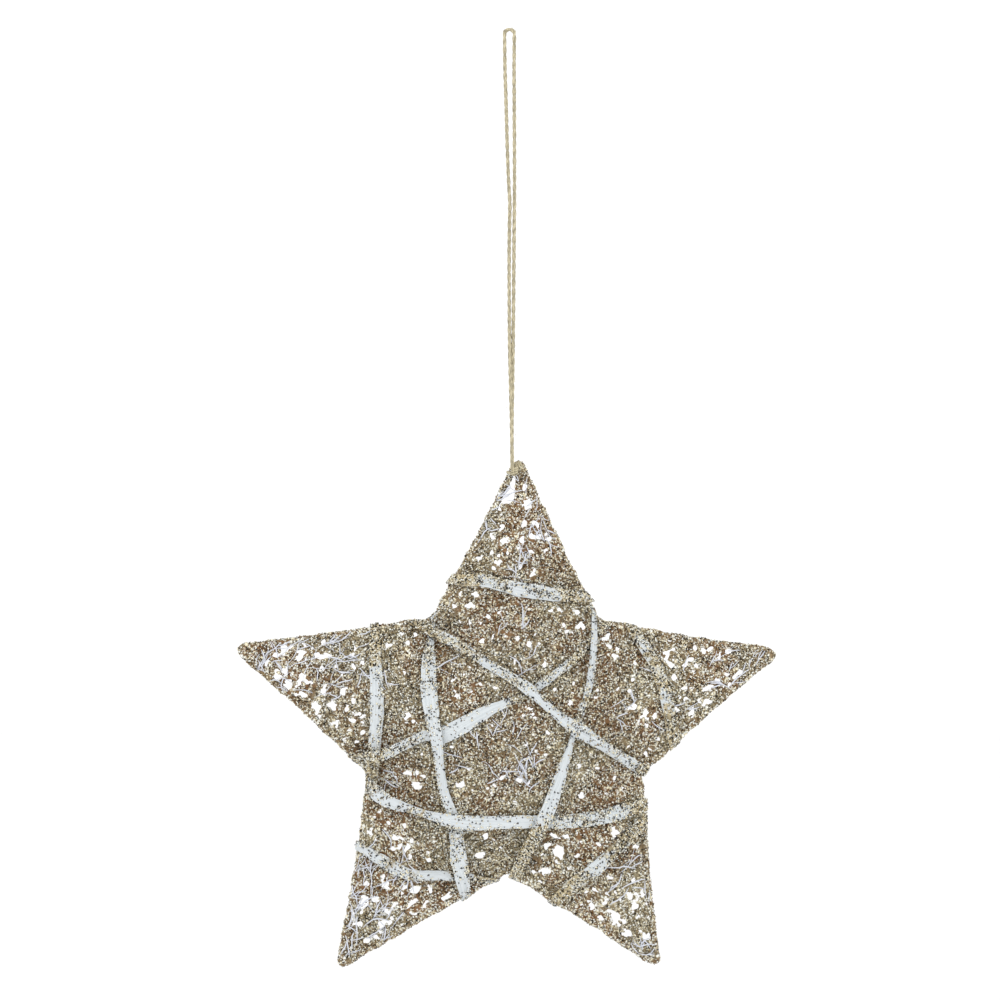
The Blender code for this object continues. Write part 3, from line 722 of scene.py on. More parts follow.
def tubes(name, routes, radii, sides=4, closed=False):
    """One mesh of round tubes along many routes, each made as a bevelled curve and then converted."""
    curve = bpy.data.curves.new(name, "CURVE")
    curve.dimensions = "3D"
    curve.bevel_depth = 1.0
    curve.bevel_resolution = (sides - 4) // 2
    curve.use_fill_caps = not closed
    for route, radius in zip(routes, radii):
        spline = curve.splines.new("POLY")
        spline.points.add(len(route) - 1)
        flat = np.ones((len(route), 4))
        flat[:, :3] = route
        spline.points.foreach_set("co", flat.ravel())
        spline.points.foreach_set("radius", np.broadcast_to(radius, len(route)).astype(float))
        spline.use_cyclic_u = closed
        spline.use_smooth = True
    link(bpy.data.objects.new(name, curve))
    bpy.ops.object.convert(target="MESH")
    merge_doubles(TUBE_MERGING)
    return bpy.context.object


def smooth_route(points, longest_step, closed=False):
    """Rows on a smooth curve through the given rows, none farther apart than about the longest step."""
    points = np.array(points, float)
    if closed:
        ends = np.vstack((points[-1], points, points[:2]))
    else:
        ends = np.vstack((2 * points[0] - points[1], points, 2 * points[-1] - points[-2]))
    route = []
    for before, start, end, after in zip(ends, ends[1:], ends[2:], ends[3:]):
        steps = max(1, math.ceil(np.linalg.norm(end - start) / longest_step))
        for t in np.arange(steps) / steps:
            bend = 2 * before - 5 * start + 4 * end - after
            twist = 3 * (start - end) + after - before
            route.append(start + ((end - before) * t + bend * t**2 + twist * t**3) / 2)
    return np.array(route if closed else [*route, points[-1]])


# Fibre web

GRID = 0.36 * MM
STRAND_REACH = 2  # grid cells to each side of a strand that its glitter covers
STRAND_STEP = 3.0 * MM
STRAND_LENGTHS = (8 * MM, 34 * MM)
STRAND_POINTS = 12  # at least, along a strand's grid
STRAND_BEND = 0.3  # spreads in radians: of a strand's bend, of its sway, and about an arm's own direction
STRAND_SWAY = 0.035
STRAND_TURN = 0.8
PATCH_WAVES = 14
PATCH_CONTRAST = 1.2
LOOSEST = 0.12  # chance of a strand where the web is loosest
DISC_EDGE = 0.3  # grid cells that round off the disc of glitter about a strand
SHORTEST_STRAND = 3 * MM
HOLE_EDGE = 0.4 * MM
ARM_COVER = 0.81
MIDDLE_COVER = 0.92
MIDDLE_ZONE = 50.0 * MM
PATCH_WIDTH = 16.0 * MM
RIM_EDGE = 0.7 * MM
LAYER_DEPTH = 0.7 * MM
WOBBLE = 0.12 * MM
THREAD_SPREAD = (0.75, 1.25)

FELT_CELL = 0.7 * MM
FELT_EDGE_MARGIN = 0.08  # share of a cell that the felt's edge keeps from the grid's places
SMALL_GAPS = 380
GAP_TRIES = 20  # for each small gap
MIDDLE_GAPS = 0.5  # share of the small gaps that stays in the star's middle
GAP_SLIMNESS = (0.5, 1.0)
SMALL_GAP_WIDTHS = (1.2 * MM, 2.0 * MM)
ARM_GAP_MORE = 0.4 * MM  # by which the small gaps outside the star's middle are wider
SMALL_GAP_EDGE = 2.4 * MM
RIDGE_CLEARANCE = 1.8 * MM
BACK_GAP_MORE = 1.3 * MM
GAP_MORE = 1.0 * MM  # that flakes at a gap's edge take away again
GAP_RAGS = 1.1 * MM
GAP_RAG_WIDTH = 2.4 * MM
FELT_LIFT = 0.55 * MM
FELT_BUMP = 0.3 * MM
FELT_BUMP_WIDTH = 4.0 * MM
FELT_ROUGHNESS = 0.07 * MM
FELT_THICKNESS = 0.35 * MM
FELT_OVERHANG = 0.6 * MM
FELT_KEPT = {FRONT: 0.7, BACK: 0.5}  # share of each side's faces that stays after they are merged
RIM_COAT = 1.35 * MM


def from_photo(pixels):
    """(across, up) of points that are given in pixels of the photograph."""
    return (np.array(pixels, float) - PHOTO_STAR_MIDDLE) * (PHOTO_SCALE, -PHOTO_SCALE)


def patchiness(draws, width):
    """A smooth random field over the star, from 0 to 1, whose patches are about this wide."""
    waves = draws.normal(0, math.tau / width, (PATCH_WAVES, 2))
    phases = draws.uniform(0, math.tau, PATCH_WAVES)

    def patches(places):
        return 1 / (1 + np.exp(-PATCH_CONTRAST * np.sin(places @ waves.T + phases).sum(axis=1)))

    return patches


def grid_of(cell):
    """A grid over the star: its lowest corner, how many columns and rows, and those of each place."""
    low, high = OUTLINE.min(axis=0), OUTLINE.max(axis=0)
    columns, rows = np.ceil((high - low) / cell).astype(int) + 1
    grid = np.stack(np.meshgrid(np.arange(columns), np.arange(rows), indexing="ij"), axis=-1)
    return low, columns, rows, grid.reshape(-1, 2)


def bent_line(point, angle, length, draws):
    """Close points along a gently bent line through the point."""
    count = max(STRAND_POINTS, round(length / GRID))
    sway = np.cumsum(draws.normal(0, STRAND_SWAY, count))
    bend = draws.normal(0, STRAND_BEND) * np.linspace(-1, 1, count)
    turns = angle + bend + sway - sway[count // 2]
    flat = np.cumsum(GRID * np.column_stack((np.cos(turns), np.sin(turns))), axis=0)
    return flat + point - flat[count // 2]


def free_stretch(free):
    """The first and last index of the free run round the middle."""
    middle = len(free) // 2
    before = np.flatnonzero(~free[:middle])
    after = np.flatnonzero(~free[middle + 1 :])
    first = before[-1] + 1 if len(before) else 0
    last = middle + after[0] if len(after) else len(free) - 1
    return first, last


def lay_strands(side, draws):
    """Flat routes of the strands on one side, laid until each part of the star is covered enough."""
    low, columns, rows, grid = grid_of(GRID)
    cells = low + grid * GRID
    usable = inside(cells, OUTLINE) & ~inside(cells, from_photo(TOP_OPENING))
    usable &= beside_gaps(cells, side) > HOLE_EDGE
    bearing = np.degrees(np.arctan2(cells[:, 0], cells[:, 1]))
    gaps = np.array([np.abs((bearing - angle + 180) % 360 - 180) for angle, _ in TIPS])
    zones = np.where(np.linalg.norm(cells, axis=1) < MIDDLE_ZONE, len(TIPS), gaps.argmin(axis=0))
    closeness = patchiness(draws, PATCH_WIDTH)(cells)
    covered = np.zeros(len(cells), bool)
    reach = np.arange(-STRAND_REACH, STRAND_REACH + 1)
    disc = np.stack(np.meshgrid(reach, reach), axis=-1).reshape(-1, 2)
    disc = disc[np.linalg.norm(disc, axis=1) < STRAND_REACH + DISC_EDGE]
    strands = []
    for zone in [*ARMS, len(TIPS)]:
        members = np.flatnonzero((zones == zone) & usable)
        target = MIDDLE_COVER if zone == len(TIPS) else ARM_COVER
        while covered[members].mean() < target:
            picked = draws.choice(members[~covered[members]])
            if draws.random() > LOOSEST + closeness[picked]:
                continue
            if zone == len(TIPS):
                turn = draws.uniform(0, math.pi)
            else:
                turn = -math.radians(TIPS[zone][0]) + draws.normal(0, STRAND_TURN)
            flat = bent_line(cells[picked], turn, draws.uniform(*STRAND_LENGTHS), draws)
            spots = ((flat - low) / GRID).round().astype(int)
            spots = np.clip(spots, 0, (columns - 1, rows - 1))
            first, last = free_stretch(usable[spots[:, 0] * rows + spots[:, 1]])
            if last - first < SHORTEST_STRAND / GRID:
                covered[picked] = True
                continue
            touched = (spots[first : last + 1, None] + disc).reshape(-1, 2)
            touched = np.clip(touched, 0, (columns - 1, rows - 1))
            covered[touched[:, 0] * rows + touched[:, 1]] = True
            points = max(3, round((last - first) * GRID / STRAND_STEP))
            strands.append(flat[np.linspace(first, last, points, dtype=int)])
    return strands


def from_stretch(places, start, end):
    """How far each place lies from the straight stretch between two points."""
    way = end - start
    share = np.clip((places - start) @ way / (way @ way), 0, 1)[:, None]
    return np.linalg.norm(places - start - share * way, axis=1)


def beside_strips(places):
    """How far each place lies beside the edge of the nearest paper strip."""
    result = np.full(len(places), np.inf)
    for stations, *_ in STRIPS.values():
        rows = np.array(stations) * MM
        for start, end in zip(rows, rows[1:]):
            result = np.minimum(result, from_stretch(places, start[:2], end[:2]) - start[2] / 2)
    return result


def beside_ridges(places):
    """How far each place lies from the nearest ridge wire."""
    middle = np.zeros(2)
    return np.min([from_stretch(places, middle, tip_middle(arm)) for arm in ARMS], axis=0)


def gaps_of(side):
    """Middles, widths, slants and slimness of one side's gaps, placed so that light shines through both."""
    holes = np.array(HOLES, float)
    places, widths = from_photo(holes[:, :2]), holes[:, 2] * PHOTO_SCALE + GAP_MORE
    draws = draws_for("gaps")
    small = draws.uniform(OUTLINE.min(axis=0), OUTLINE.max(axis=0), (GAP_TRIES * SMALL_GAPS, 2))
    usable = (depth_inside(small, OUTLINE) > SMALL_GAP_EDGE) & (beside_strips(small) > SMALL_GAP_EDGE)
    usable &= beside_ridges(small) > RIDGE_CLEARANCE
    in_middle = np.linalg.norm(small, axis=1) < MIDDLE_ZONE
    usable &= draws.random(len(small)) > (1 - MIDDLE_GAPS) * in_middle
    small = small[usable][:SMALL_GAPS]
    places = np.vstack((places, small))
    outer = np.linalg.norm(small, axis=1) > MIDDLE_ZONE
    widths = np.append(widths, draws.uniform(*SMALL_GAP_WIDTHS, len(small)) + ARM_GAP_MORE * outer)
    heights = np.array([form_height(place, FRONT) for place in places])[:, None]
    axis = VIEW_AXIS - (MIDDLE.x, MIDDLE.z)
    places = axis + (places - axis) * (1 + side * heights / VIEW_DISTANCE)
    if side == BACK:
        widths = widths + BACK_GAP_MORE
    slants = draws.uniform(0, math.pi, len(widths))
    return places, widths, slants, draws.uniform(*GAP_SLIMNESS, len(widths))


def beside_gaps(cells, side):
    """How far each place lies outside the nearest gap with its ragged edge, less than nothing inside one."""
    result = np.full(len(cells), np.inf)
    for place, width, slant, slimness in zip(*gaps_of(side)):
        along = (cells - place) @ (math.cos(slant), math.sin(slant))
        across = (cells - place) @ (-math.sin(slant), math.cos(slant))
        result = np.minimum(result, np.hypot(along, across / slimness) - width / 2)
    return result + GAP_RAGS * (patchiness(draws_for("rags"), GAP_RAG_WIDTH)(cells) - 0.5)


WOUND = {}  # by side, the strands' routes and then the felt's object, which the glitter is laid on
FELT = {}


def wound_routes(side):
    """The routes of all strands on one side, worked out once."""
    if side not in WOUND:
        draws = draws_for("strands", side)
        routes = []
        for flat in lay_strands(side, draws):
            lift = RIM_EDGE + draws.uniform(0, LAYER_DEPTH)
            heights = np.array([form_height(point, side) for point in flat]) + lift
            heights += draws.normal(0, WOBBLE, len(flat))
            routes.append(np.array([in_frame(*spot, side) for spot in zip(flat, heights)]))
        WOUND[side] = routes
    return WOUND[side]


def depth_inside(places, path):
    """How far each place lies inside the closed path, less than nothing outside it."""
    gaps = np.min([from_stretch(places, start, end) for start, end in edges_of(path)], axis=0)
    return np.where(inside(places, path), gaps, -gaps)


def felt_sheet(name, side, draws):
    """The matted felt of one side, with its gaps and the opening under the top tip left open."""
    low, columns, rows, grid = grid_of(FELT_CELL)
    places = low + grid * FELT_CELL
    rim = resampled(rim_route(), 2 * RIM_STEP)
    field = depth_inside(places, rim) + FELT_OVERHANG
    field = np.minimum(field, beside_gaps(places, side))
    field = np.minimum(field, -depth_inside(places, from_photo(TOP_OPENING))).reshape(columns, rows)

    shape = bmesh.new()
    flats, spots = [], {}

    def spot(here, there):
        """The felt's own point at a grid place, or where its edge crosses between two places."""
        key = tuple(sorted((here, there)))
        first, second = key
        if key not in spots:
            start, end = (low + np.array(place) * FELT_CELL for place in key)
            share = 0.0
            if first != second:
                share = field[first] / (field[first] - field[second])
                share = min(1 - FELT_EDGE_MARGIN, max(FELT_EDGE_MARGIN, share))
            flats.append(start + (end - start) * share)
            spots[key] = shape.verts.new((0, 0, 0))
        return spots[key]

    filled = field > 0
    busy = filled[:-1, :-1] | filled[1:, :-1] | filled[:-1, 1:] | filled[1:, 1:]
    for column, row in np.argwhere(busy).tolist():
        ring = ((column, row), (column + 1, row), (column + 1, row + 1), (column, row + 1))
        corners = []
        for here, there in zip(ring, (*ring[1:], ring[0])):
            if filled[here]:
                corners.append(spot(here, here))
            if filled[here] != filled[there]:
                corners.append(spot(here, there))
        if len(corners) > 2:
            shape.faces.new(corners if side == FRONT else corners[::-1])
    flats = np.array(flats)
    bumps = FELT_BUMP * patchiness(draws, FELT_BUMP_WIDTH)(flats)
    bumps += draws.normal(0, FELT_ROUGHNESS, len(flats))
    over_rim = np.clip(depth_inside(flats, rim), -RIM_COAT, RIM_COAT)
    for vertex, flat, bump, depth in zip(shape.verts, flats, bumps, over_rim):
        height = max(form_height(flat, side) + FELT_LIFT, math.sqrt(RIM_COAT**2 - depth**2))
        vertex.co = in_frame(flat, height + bump, side)
    mesh = bpy.data.meshes.new(name)
    shape.to_mesh(mesh)
    shape.free()
    felt = link(bpy.data.objects.new(name, mesh))
    merging = felt.modifiers.new("merging", "DECIMATE")
    merging.ratio = FELT_KEPT[side]
    bpy.ops.object.modifier_apply(modifier=merging.name)
    thicken(felt, FELT_THICKNESS)
    return felt


class STAR_OT_felt_web(bpy.types.Operator):
    """Felts the glittered fibre web over the wires, in front and behind"""

    bl_idname = "star.felt_web"
    bl_label = "Felt the web"

    def execute(self, context):
        sizes, colours = context.scene.star_sizes, context.scene.star_colours
        finish = paint_felt("glittered_felt", colours.felt, colours.khaki, colours)
        draws = draws_for("felt")
        for name, side in SIDES.items():
            routes = wound_routes(side)
            radii = sizes.thread_radius * draws.uniform(*THREAD_SPREAD, len(routes))
            tubes(name + "_web", routes, radii)
            add_web_piece(name + "_web", finish)
            FELT[side] = felt_sheet(name + "_felt", side, draws)
            add_web_piece(name + "_felt", finish)
        return {"FINISHED"}


# Rim

RIM_STEP = 2.2 * MM
WRAP_PITCH = 2.4 * MM
WRAP_POINTS = 9
CORE_POINTS = 4  # the core has one point for this many of the thread's
CORE_WOBBLE = 0.05 * MM
WRAP_REACH = 0.95  # of the rim's radius, as the next one
WRAP_VARIES = 0.5
WRAP_THREAD = 0.8  # of the thread's radius
RIM_BOW = 1.1 * MM
RIM_LUMP_WIDTH = 5.0 * MM
RIM_SWAY = 0.5 * MM
TIP_BULGE = 0.9 * MM
TIP_NARROWING = 0.65
CORNER_ROUNDING = 8.0 * MM
BOW_SHARES = (0.25, 0.5)


def rim_route():
    """The bound rim's middle line: round at the tips and corners, and drawn in a little by the winding."""
    points = []
    for arm in ARMS:
        start, end = drawn_in(tip_points(arm))
        middle = (start + end) / 2
        points += [start, middle * (1 + TIP_BULGE / np.linalg.norm(middle)), end]
        corner = corner_point(arm)
        next_start = drawn_in(tip_points((arm + 1) % len(TIPS)))[0]
        points += [*bowed_points(end, corner), corner, *bowed_points(next_start, corner)[::-1]]
    route = smooth_route(points, RIM_STEP, closed=True)
    sway = patchiness(draws_for("rim sway"), RIM_LUMP_WIDTH)(route) - 0.5
    return route * (1 + 2 * RIM_SWAY * sway / np.linalg.norm(route, axis=1))[:, None]


def drawn_in(ends):
    """The two ends of a tip's bend, drawn towards each other by the winding."""
    middle = sum(ends) / 2
    return [middle + (end - middle) * TIP_NARROWING for end in ends]


def bowed_points(tip, corner):
    """Points between a tip and an inner corner, drawn in towards the star's middle."""
    inwards = -(tip + corner) / np.linalg.norm(tip + corner)
    length = np.linalg.norm(corner - tip)
    points = []
    for share in (*BOW_SHARES, 1 - CORNER_ROUNDING / length):
        points.append(tip + (corner - tip) * share + inwards * RIM_BOW * math.sin(math.pi * share))
    return points


def resampled(route, step):
    """Points at even distances along a closed route."""
    closed = np.vstack((route, route[:1]))
    reach = np.concatenate(([0.0], np.cumsum(np.linalg.norm(np.diff(closed, axis=0), axis=1))))
    places = np.linspace(0, reach[-1], int(reach[-1] / step), endpoint=False)
    return np.column_stack([np.interp(places, reach, closed[:, axis]) for axis in range(closed.shape[1])])


def rim_tubes(sizes, draws):
    """Routes of the rim's core and of the thread that binds it, turn after turn."""
    flat = resampled(rim_route(), WRAP_PITCH / WRAP_POINTS)
    core = np.array([in_frame(point, draws.normal(0, CORE_WOBBLE), 1) for point in flat[::CORE_POINTS]])
    ahead = unit(np.roll(flat, -1, axis=0) - flat)
    angles = np.arange(len(flat)) * math.tau / WRAP_POINTS
    lumps = patchiness(draws, RIM_LUMP_WIDTH)(flat) - 0.5
    spread = sizes.rim_radius * (WRAP_REACH + WRAP_VARIES * lumps)
    aside = np.column_stack((-ahead[:, 1], ahead[:, 0])) * (spread * np.cos(angles))[:, None]
    heights = spread * np.sin(angles)
    wrap = np.array([in_frame(point, height, 1) for point, height in zip(flat + aside, heights)])
    return core, wrap


class STAR_OT_bind_rim(bpy.types.Operator):
    """Binds the rim wire with glittered thread"""

    bl_idname = "star.bind_rim"
    bl_label = "Bind the rim"

    def execute(self, context):
        sizes, colours = context.scene.star_sizes, context.scene.star_colours
        core, wrap = rim_tubes(sizes, draws_for("rim binding"))
        core_piece = tubes("rim_core", [core], [sizes.rim_radius], sides=8, closed=True)
        wrap_piece = tubes("rim_wrap", [wrap], [WRAP_THREAD * sizes.thread_radius], closed=True)
        join(core_piece, wrap_piece)
        add_web_piece("bound_rim", paint_felt("glittered_binding", colours.khaki, colours.felt, colours))
        return {"FINISHED"}


# Glitter

FRINGE = 0.2 * MM
# Dark flakes are painted shade and dark reflections, pale ones painted glints.
DARK_SHARE = 0.2
PALE_SHARE = 0.34
GLITTER_PATCH_WIDTH = 4.5 * MM
GLITTER_LEAST = 0.4
CRUMB_LIFT = 0.2 * MM
# How many crumbs, painted pale as glints, lie on each side.
GLINT_CRUMBS = {FRONT: 6400, BACK: 2800}
RIM_GLINT_CRUMBS = 900
GLITTER_SHARES = {FRONT: 1.0, BACK: 0.5}
TILT = 0.25
FLAKE_STRETCH = (0.75, 1.25)
FLAKE_LIFT = 0.05 * MM
CHIP_WIDTHS = (0.7, 1.25)
PALE_WIDTH, OTHER_WIDTH = 1.1, 0.85
CHIP_LIFTS = (0.1, 0.28)  # in millimetres, of the dark and pale flakes that lie on the others
CRUMB_WIDTHS = (0.7, 0.45, 2.4)  # the least, the mean excess and the most
OUTER_FACING = 0.2  # how squarely a face looks outwards before it takes glitter
THREAD_WRAP, RIM_WRAP = 0.6, 2.5  # spread of the glitter round a thread and round the rim, in radians
TINY = 1e-15  # the least area, so that a flat triangle has a normal
NUDGE = 1e-6  # turns the outward way off a thread that runs along it


def segments_of(routes):
    """(starts, ends) of all stretches of the routes."""
    starts = np.vstack([route[:-1] for route in routes])
    ends = np.vstack([route[1:] for route in routes])
    return starts, ends


def model_chip():
    """The corners and faces of one flake, a low three-sided chip of unit width."""
    bpy.ops.object.select_all(action="DESELECT")
    bpy.ops.mesh.primitive_cone_add(vertices=3, radius1=0.58, radius2=0.0, depth=0.22)
    return taken_apart(bpy.context.object)


def model_crumb():
    """The corners and faces of one crumb, a low six-sided cone of unit width."""
    bpy.ops.object.select_all(action="DESELECT")
    bpy.ops.mesh.primitive_cone_add(vertices=6, radius1=0.5, radius2=0.0, depth=0.4, end_fill_type="TRIFAN")
    return taken_apart(bpy.context.object)


def taken_apart(shape):
    """A shape's corners and faces as arrays, with the shape itself removed."""
    corners = np.array([vertex.co[:] for vertex in shape.data.vertices])
    faces = np.array([face.vertices[:] for face in shape.data.polygons])
    bpy.data.objects.remove(shape)
    return corners, faces


def scatter_flakes(name, shape, places, normals, widths, glint_and_shade_tones, draws):
    """One mesh of flakes at the places, roughly flat on the normals, with their tones of painted glint and
    shade as an attribute.
    """
    corners, faces = shape
    count = len(places)
    up = unit(normals + draws.normal(0, TILT, (count, 3)))
    side = unit(np.cross(up, draws.normal(0, 1, (count, 3))))
    front = np.cross(up, side)
    stretch = draws.uniform(*FLAKE_STRETCH, (count, 1))
    local = corners[None] * widths[:, None, None]
    verts = (
        places[:, None, :]
        + local[:, :, 0:1] * (side * stretch)[:, None, :]
        + local[:, :, 1:2] * (front / stretch)[:, None, :]
        + local[:, :, 2:3] * up[:, None, :]
    ).reshape(-1, 3)
    index = (faces[None] + (np.arange(count) * len(corners))[:, None, None]).reshape(-1, 3)
    mesh = bpy.data.meshes.new(name)
    mesh.vertices.add(len(verts))
    mesh.vertices.foreach_set("co", verts.ravel())
    mesh.loops.add(index.size)
    mesh.loops.foreach_set("vertex_index", index.ravel())
    mesh.polygons.add(len(index))
    mesh.polygons.foreach_set("loop_start", np.arange(0, index.size, 3))
    mesh.update(calc_edges=True)
    tone = mesh.attributes.new("tone", "FLOAT", "POINT")
    tone.data.foreach_set("value", np.repeat(glint_and_shade_tones, len(corners)))
    return link(bpy.data.objects.new(name, mesh))


def triangles_of(mesh):
    """The corners, normals and areas of a mesh's triangles."""
    mesh.calc_loop_triangles()
    places = np.empty(len(mesh.vertices) * 3)
    mesh.vertices.foreach_get("co", places)
    index = np.empty(len(mesh.loop_triangles) * 3, int)
    mesh.loop_triangles.foreach_get("vertices", index)
    corners = places.reshape(-1, 3)[index].reshape(-1, 3, 3)
    crossed = np.cross(corners[:, 1] - corners[:, 0], corners[:, 2] - corners[:, 0])
    doubled = np.maximum(np.linalg.norm(crossed, axis=1), TINY)
    return corners, crossed / doubled[:, None], doubled / 2


def points_on(corners, normals, weights, count, draws):
    """Random points on the triangles, a hair above them, with their normals."""
    picked = draws.choice(len(corners), count, p=weights / weights.sum())
    s, t = draws.random((2, count, 1))
    folded = s + t > 1
    s, t = np.where(folded, 1 - s, s), np.where(folded, 1 - t, t)
    first, second, third = corners[picked].transpose(1, 0, 2)
    places = first + (second - first) * s + (third - first) * t
    return places + normals[picked] * FLAKE_LIFT, normals[picked]


def points_over(felt, side, count, draws):
    """Random points on the outer face of one felt, closer together on some patches, with their normals."""
    corners, normals, areas = triangles_of(felt.data)
    patches = patchiness(draws, GLITTER_PATCH_WIDTH)(corners.mean(axis=1)[:, (0, 2)])
    weights = areas * (normals[:, 1] * side > OUTER_FACING) * (GLITTER_LEAST + patches)
    return points_on(corners, normals, weights, count, draws)


def points_along(starts, ends, radius, count, side, draws, wrap, fringe=0.0):
    """Random points round the stretches, most of them on the outer half, with their normals."""
    lengths = np.linalg.norm(ends - starts, axis=1)
    picked = draws.choice(len(starts), count, p=lengths / lengths.sum())
    along = unit(ends - starts)[picked]
    places = starts[picked] + (ends - starts)[picked] * draws.random((count, 1))
    outward = np.tile((0.0, float(side), 0.0), (count, 1))
    beside = unit(np.cross(along, outward + NUDGE))
    facing = np.cross(beside, along)
    facing *= np.sign((facing * outward).sum(axis=1))[:, None]
    angles = draws.normal(0, wrap, count)[:, None]
    normals = facing * np.cos(angles) + beside * np.sin(angles)
    return places + normals * radius + beside * draws.uniform(-fringe, fringe, (count, 1)), normals


def scatter_chips(name, places, normals, width, draws, dark_share=DARK_SHARE):
    """Flakes of all tones: most of a middle tone, and dark ones in painted shade and pale ones as painted
    glints on top of them.
    """
    count = len(places)
    kinds = draws.random(count)
    dark, pale = kinds < dark_share, kinds > 1 - PALE_SHARE
    widths = width * draws.uniform(*CHIP_WIDTHS, count) * np.where(pale, PALE_WIDTH, OTHER_WIDTH)
    glint_and_shade_tones = draws.uniform(DARKEST_MID, BRIGHT, count)
    glint_and_shade_tones[dark] = 0.0
    glint_and_shade_tones[pale] = draws.uniform(BRIGHT, 1.0, pale.sum())
    lifts = np.where(dark | pale, draws.uniform(*CHIP_LIFTS, count), 0.0)[:, None] * MM
    return scatter_flakes(name, model_chip(), places + normals * lifts, normals, widths, glint_and_shade_tones, draws)


def scatter_glint_crumbs(name, places, normals, width, draws):
    """Low crumbs of many widths, painted pale as glints."""
    least, excess, most = CRUMB_WIDTHS
    widths = width * (least + draws.exponential(excess, len(places))).clip(0.0, most)
    glint_and_shade_tones = draws.uniform(BRIGHT, 1.0, len(places))
    return scatter_flakes(name, model_crumb(), places + normals * CRUMB_LIFT, normals, widths, glint_and_shade_tones, draws)


class STAR_OT_sprinkle_glitter(bpy.types.Operator):
    """Sprinkles glitter flakes, toned with painted glints and shade, and crumbs painted pale as glints over
    the felt, the threads on it and the rim
    """

    bl_idname = "star.sprinkle_glitter"
    bl_label = "Sprinkle the glitter"

    def execute(self, context):
        sizes, colours = context.scene.star_sizes, context.scene.star_colours
        finish = paint_flakes(colours)
        draws = draws_for("glitter")
        width = sizes.flake_size
        core, _ = rim_tubes(sizes, draws_for("rim binding"))
        rim = (core, np.roll(core, -1, axis=0), sizes.rim_radius)
        for name, side in SIDES.items():
            count = int(GLITTER_SHARES[side] * sizes.flakes_per_piece)
            thread = (*segments_of(wound_routes(side)), sizes.thread_radius)
            on_thread = points_along(*thread, count, side, draws, THREAD_WRAP, FRINGE)
            on_felt = points_over(FELT[side], side, count, draws)
            crumbs = points_over(FELT[side], side, GLINT_CRUMBS[side], draws)
            if side == FRONT:
                on_rim = points_along(*rim, RIM_GLINT_CRUMBS, side, draws, RIM_WRAP)
                crumbs = [np.vstack(rows) for rows in zip(crumbs, on_rim)]
            for label, (places, normals), scatter in (
                ("strand_glitter", on_thread, scatter_chips),
                ("felt_glitter", on_felt, scatter_chips),
                ("crumbs", crumbs, scatter_glint_crumbs),
            ):
                scatter(f"{name}_{label}", places, normals, width, draws)
                add_web_piece(f"{name}_{label}", finish)
        places, normals = points_along(*rim, sizes.flakes_per_piece // 2, FRONT, draws, RIM_WRAP)
        scatter_chips("rim_glitter", places, normals, width, draws)
        add_web_piece("rim_glitter", finish)
        return {"FINISHED"}


# Bare fibres

FIBRE_STEP = 1.6  # in millimetres, as the lengths in BARE_PATCHES
KINK = 0.24  # spread of a fibre's turns from step to step, in radians
FIBRE_LIFTS = (0.1, 0.5)  # in millimetres
FIBRE_TURN = 0.5  # spread about a patch's own direction, in radians
FIBRE_LENGTHS = (0.4, 1.0)
FIBRE_RADII = (0.5, 1.3)
MOST_BRANCHES = 2
BRANCH_TURNS = (0.4, 1.2)
BRANCH_LENGTH = 0.45
FIBRE_TIP = 0.45  # share of a fibre's greatest radius that its ends have
FIBRE_BULGE = (0.6, 1.5)  # a fibre is thickest near its start at the first and near its end at the second


def fibre_route(start, angle, length, draws):
    """A fibre that lies on the web and changes its way at each kink."""
    count = max(3, round(length / FIBRE_STEP))
    turns = angle + np.cumsum(draws.normal(0, KINK, count))
    flat = start + np.cumsum(FIBRE_STEP * MM * np.column_stack((np.cos(turns), np.sin(turns))), axis=0)
    flat = np.vstack((start, flat))
    heights = [height_over([FORMS[FRONT]], point, FRONT) for point in flat]
    kept = [i for i, height in enumerate(heights) if height is not None]
    lift = RIM_EDGE + LAYER_DEPTH + draws.uniform(*FIBRE_LIFTS) * MM
    return np.array([in_frame(flat[i], heights[i] + lift, FRONT) for i in kept]), flat, turns


def forked_fibre(start, angle, length, draws):
    """A fibre with its side branches."""
    stem, flat, turns = fibre_route(start, angle, length, draws)
    routes = [stem]
    for _ in range(draws.integers(0, MOST_BRANCHES + 1)):
        knee = draws.integers(0, len(turns))
        branch = turns[knee] + draws.choice((-1, 1)) * draws.uniform(*BRANCH_TURNS)
        routes.append(fibre_route(flat[knee], branch, BRANCH_LENGTH * length, draws)[0])
    return [route for route in routes if len(route) > 2]


def tapered(route, radius, draws):
    """Radii along a fibre that is thickest somewhere in the middle and thin at its ends."""
    share = np.linspace(0, 1, len(route)) ** draws.uniform(*FIBRE_BULGE)
    return radius * (FIBRE_TIP + (1 - FIBRE_TIP) * np.sin(math.pi * share))


class STAR_OT_tease_fibres(bpy.types.Operator):
    """Lays the pale fibres that carry no glitter"""

    bl_idname = "star.tease_fibres"
    bl_label = "Lay the bare fibres"

    def execute(self, context):
        sizes, colours = context.scene.star_sizes, context.scene.star_colours
        draws = draws_for("fibres")
        routes = []
        for across, up, wide, high, degrees, count, length in BARE_PATCHES:
            for _ in range(count):
                start = np.array((draws.normal(across, wide), draws.normal(up, high))) * MM
                angle = math.radians(degrees) + draws.normal(0, FIBRE_TURN)
                routes += forked_fibre(start, angle, length * draws.uniform(*FIBRE_LENGTHS), draws)
        radii = []
        for route in routes:
            radii.append(tapered(route, sizes.fibre_radius * draws.uniform(*FIBRE_RADII), draws))
        tubes("bare_fibres", routes, radii)
        add_web_piece("bare_fibres", paint_fibre(colours))
        return {"FINISHED"}


# Paper strips

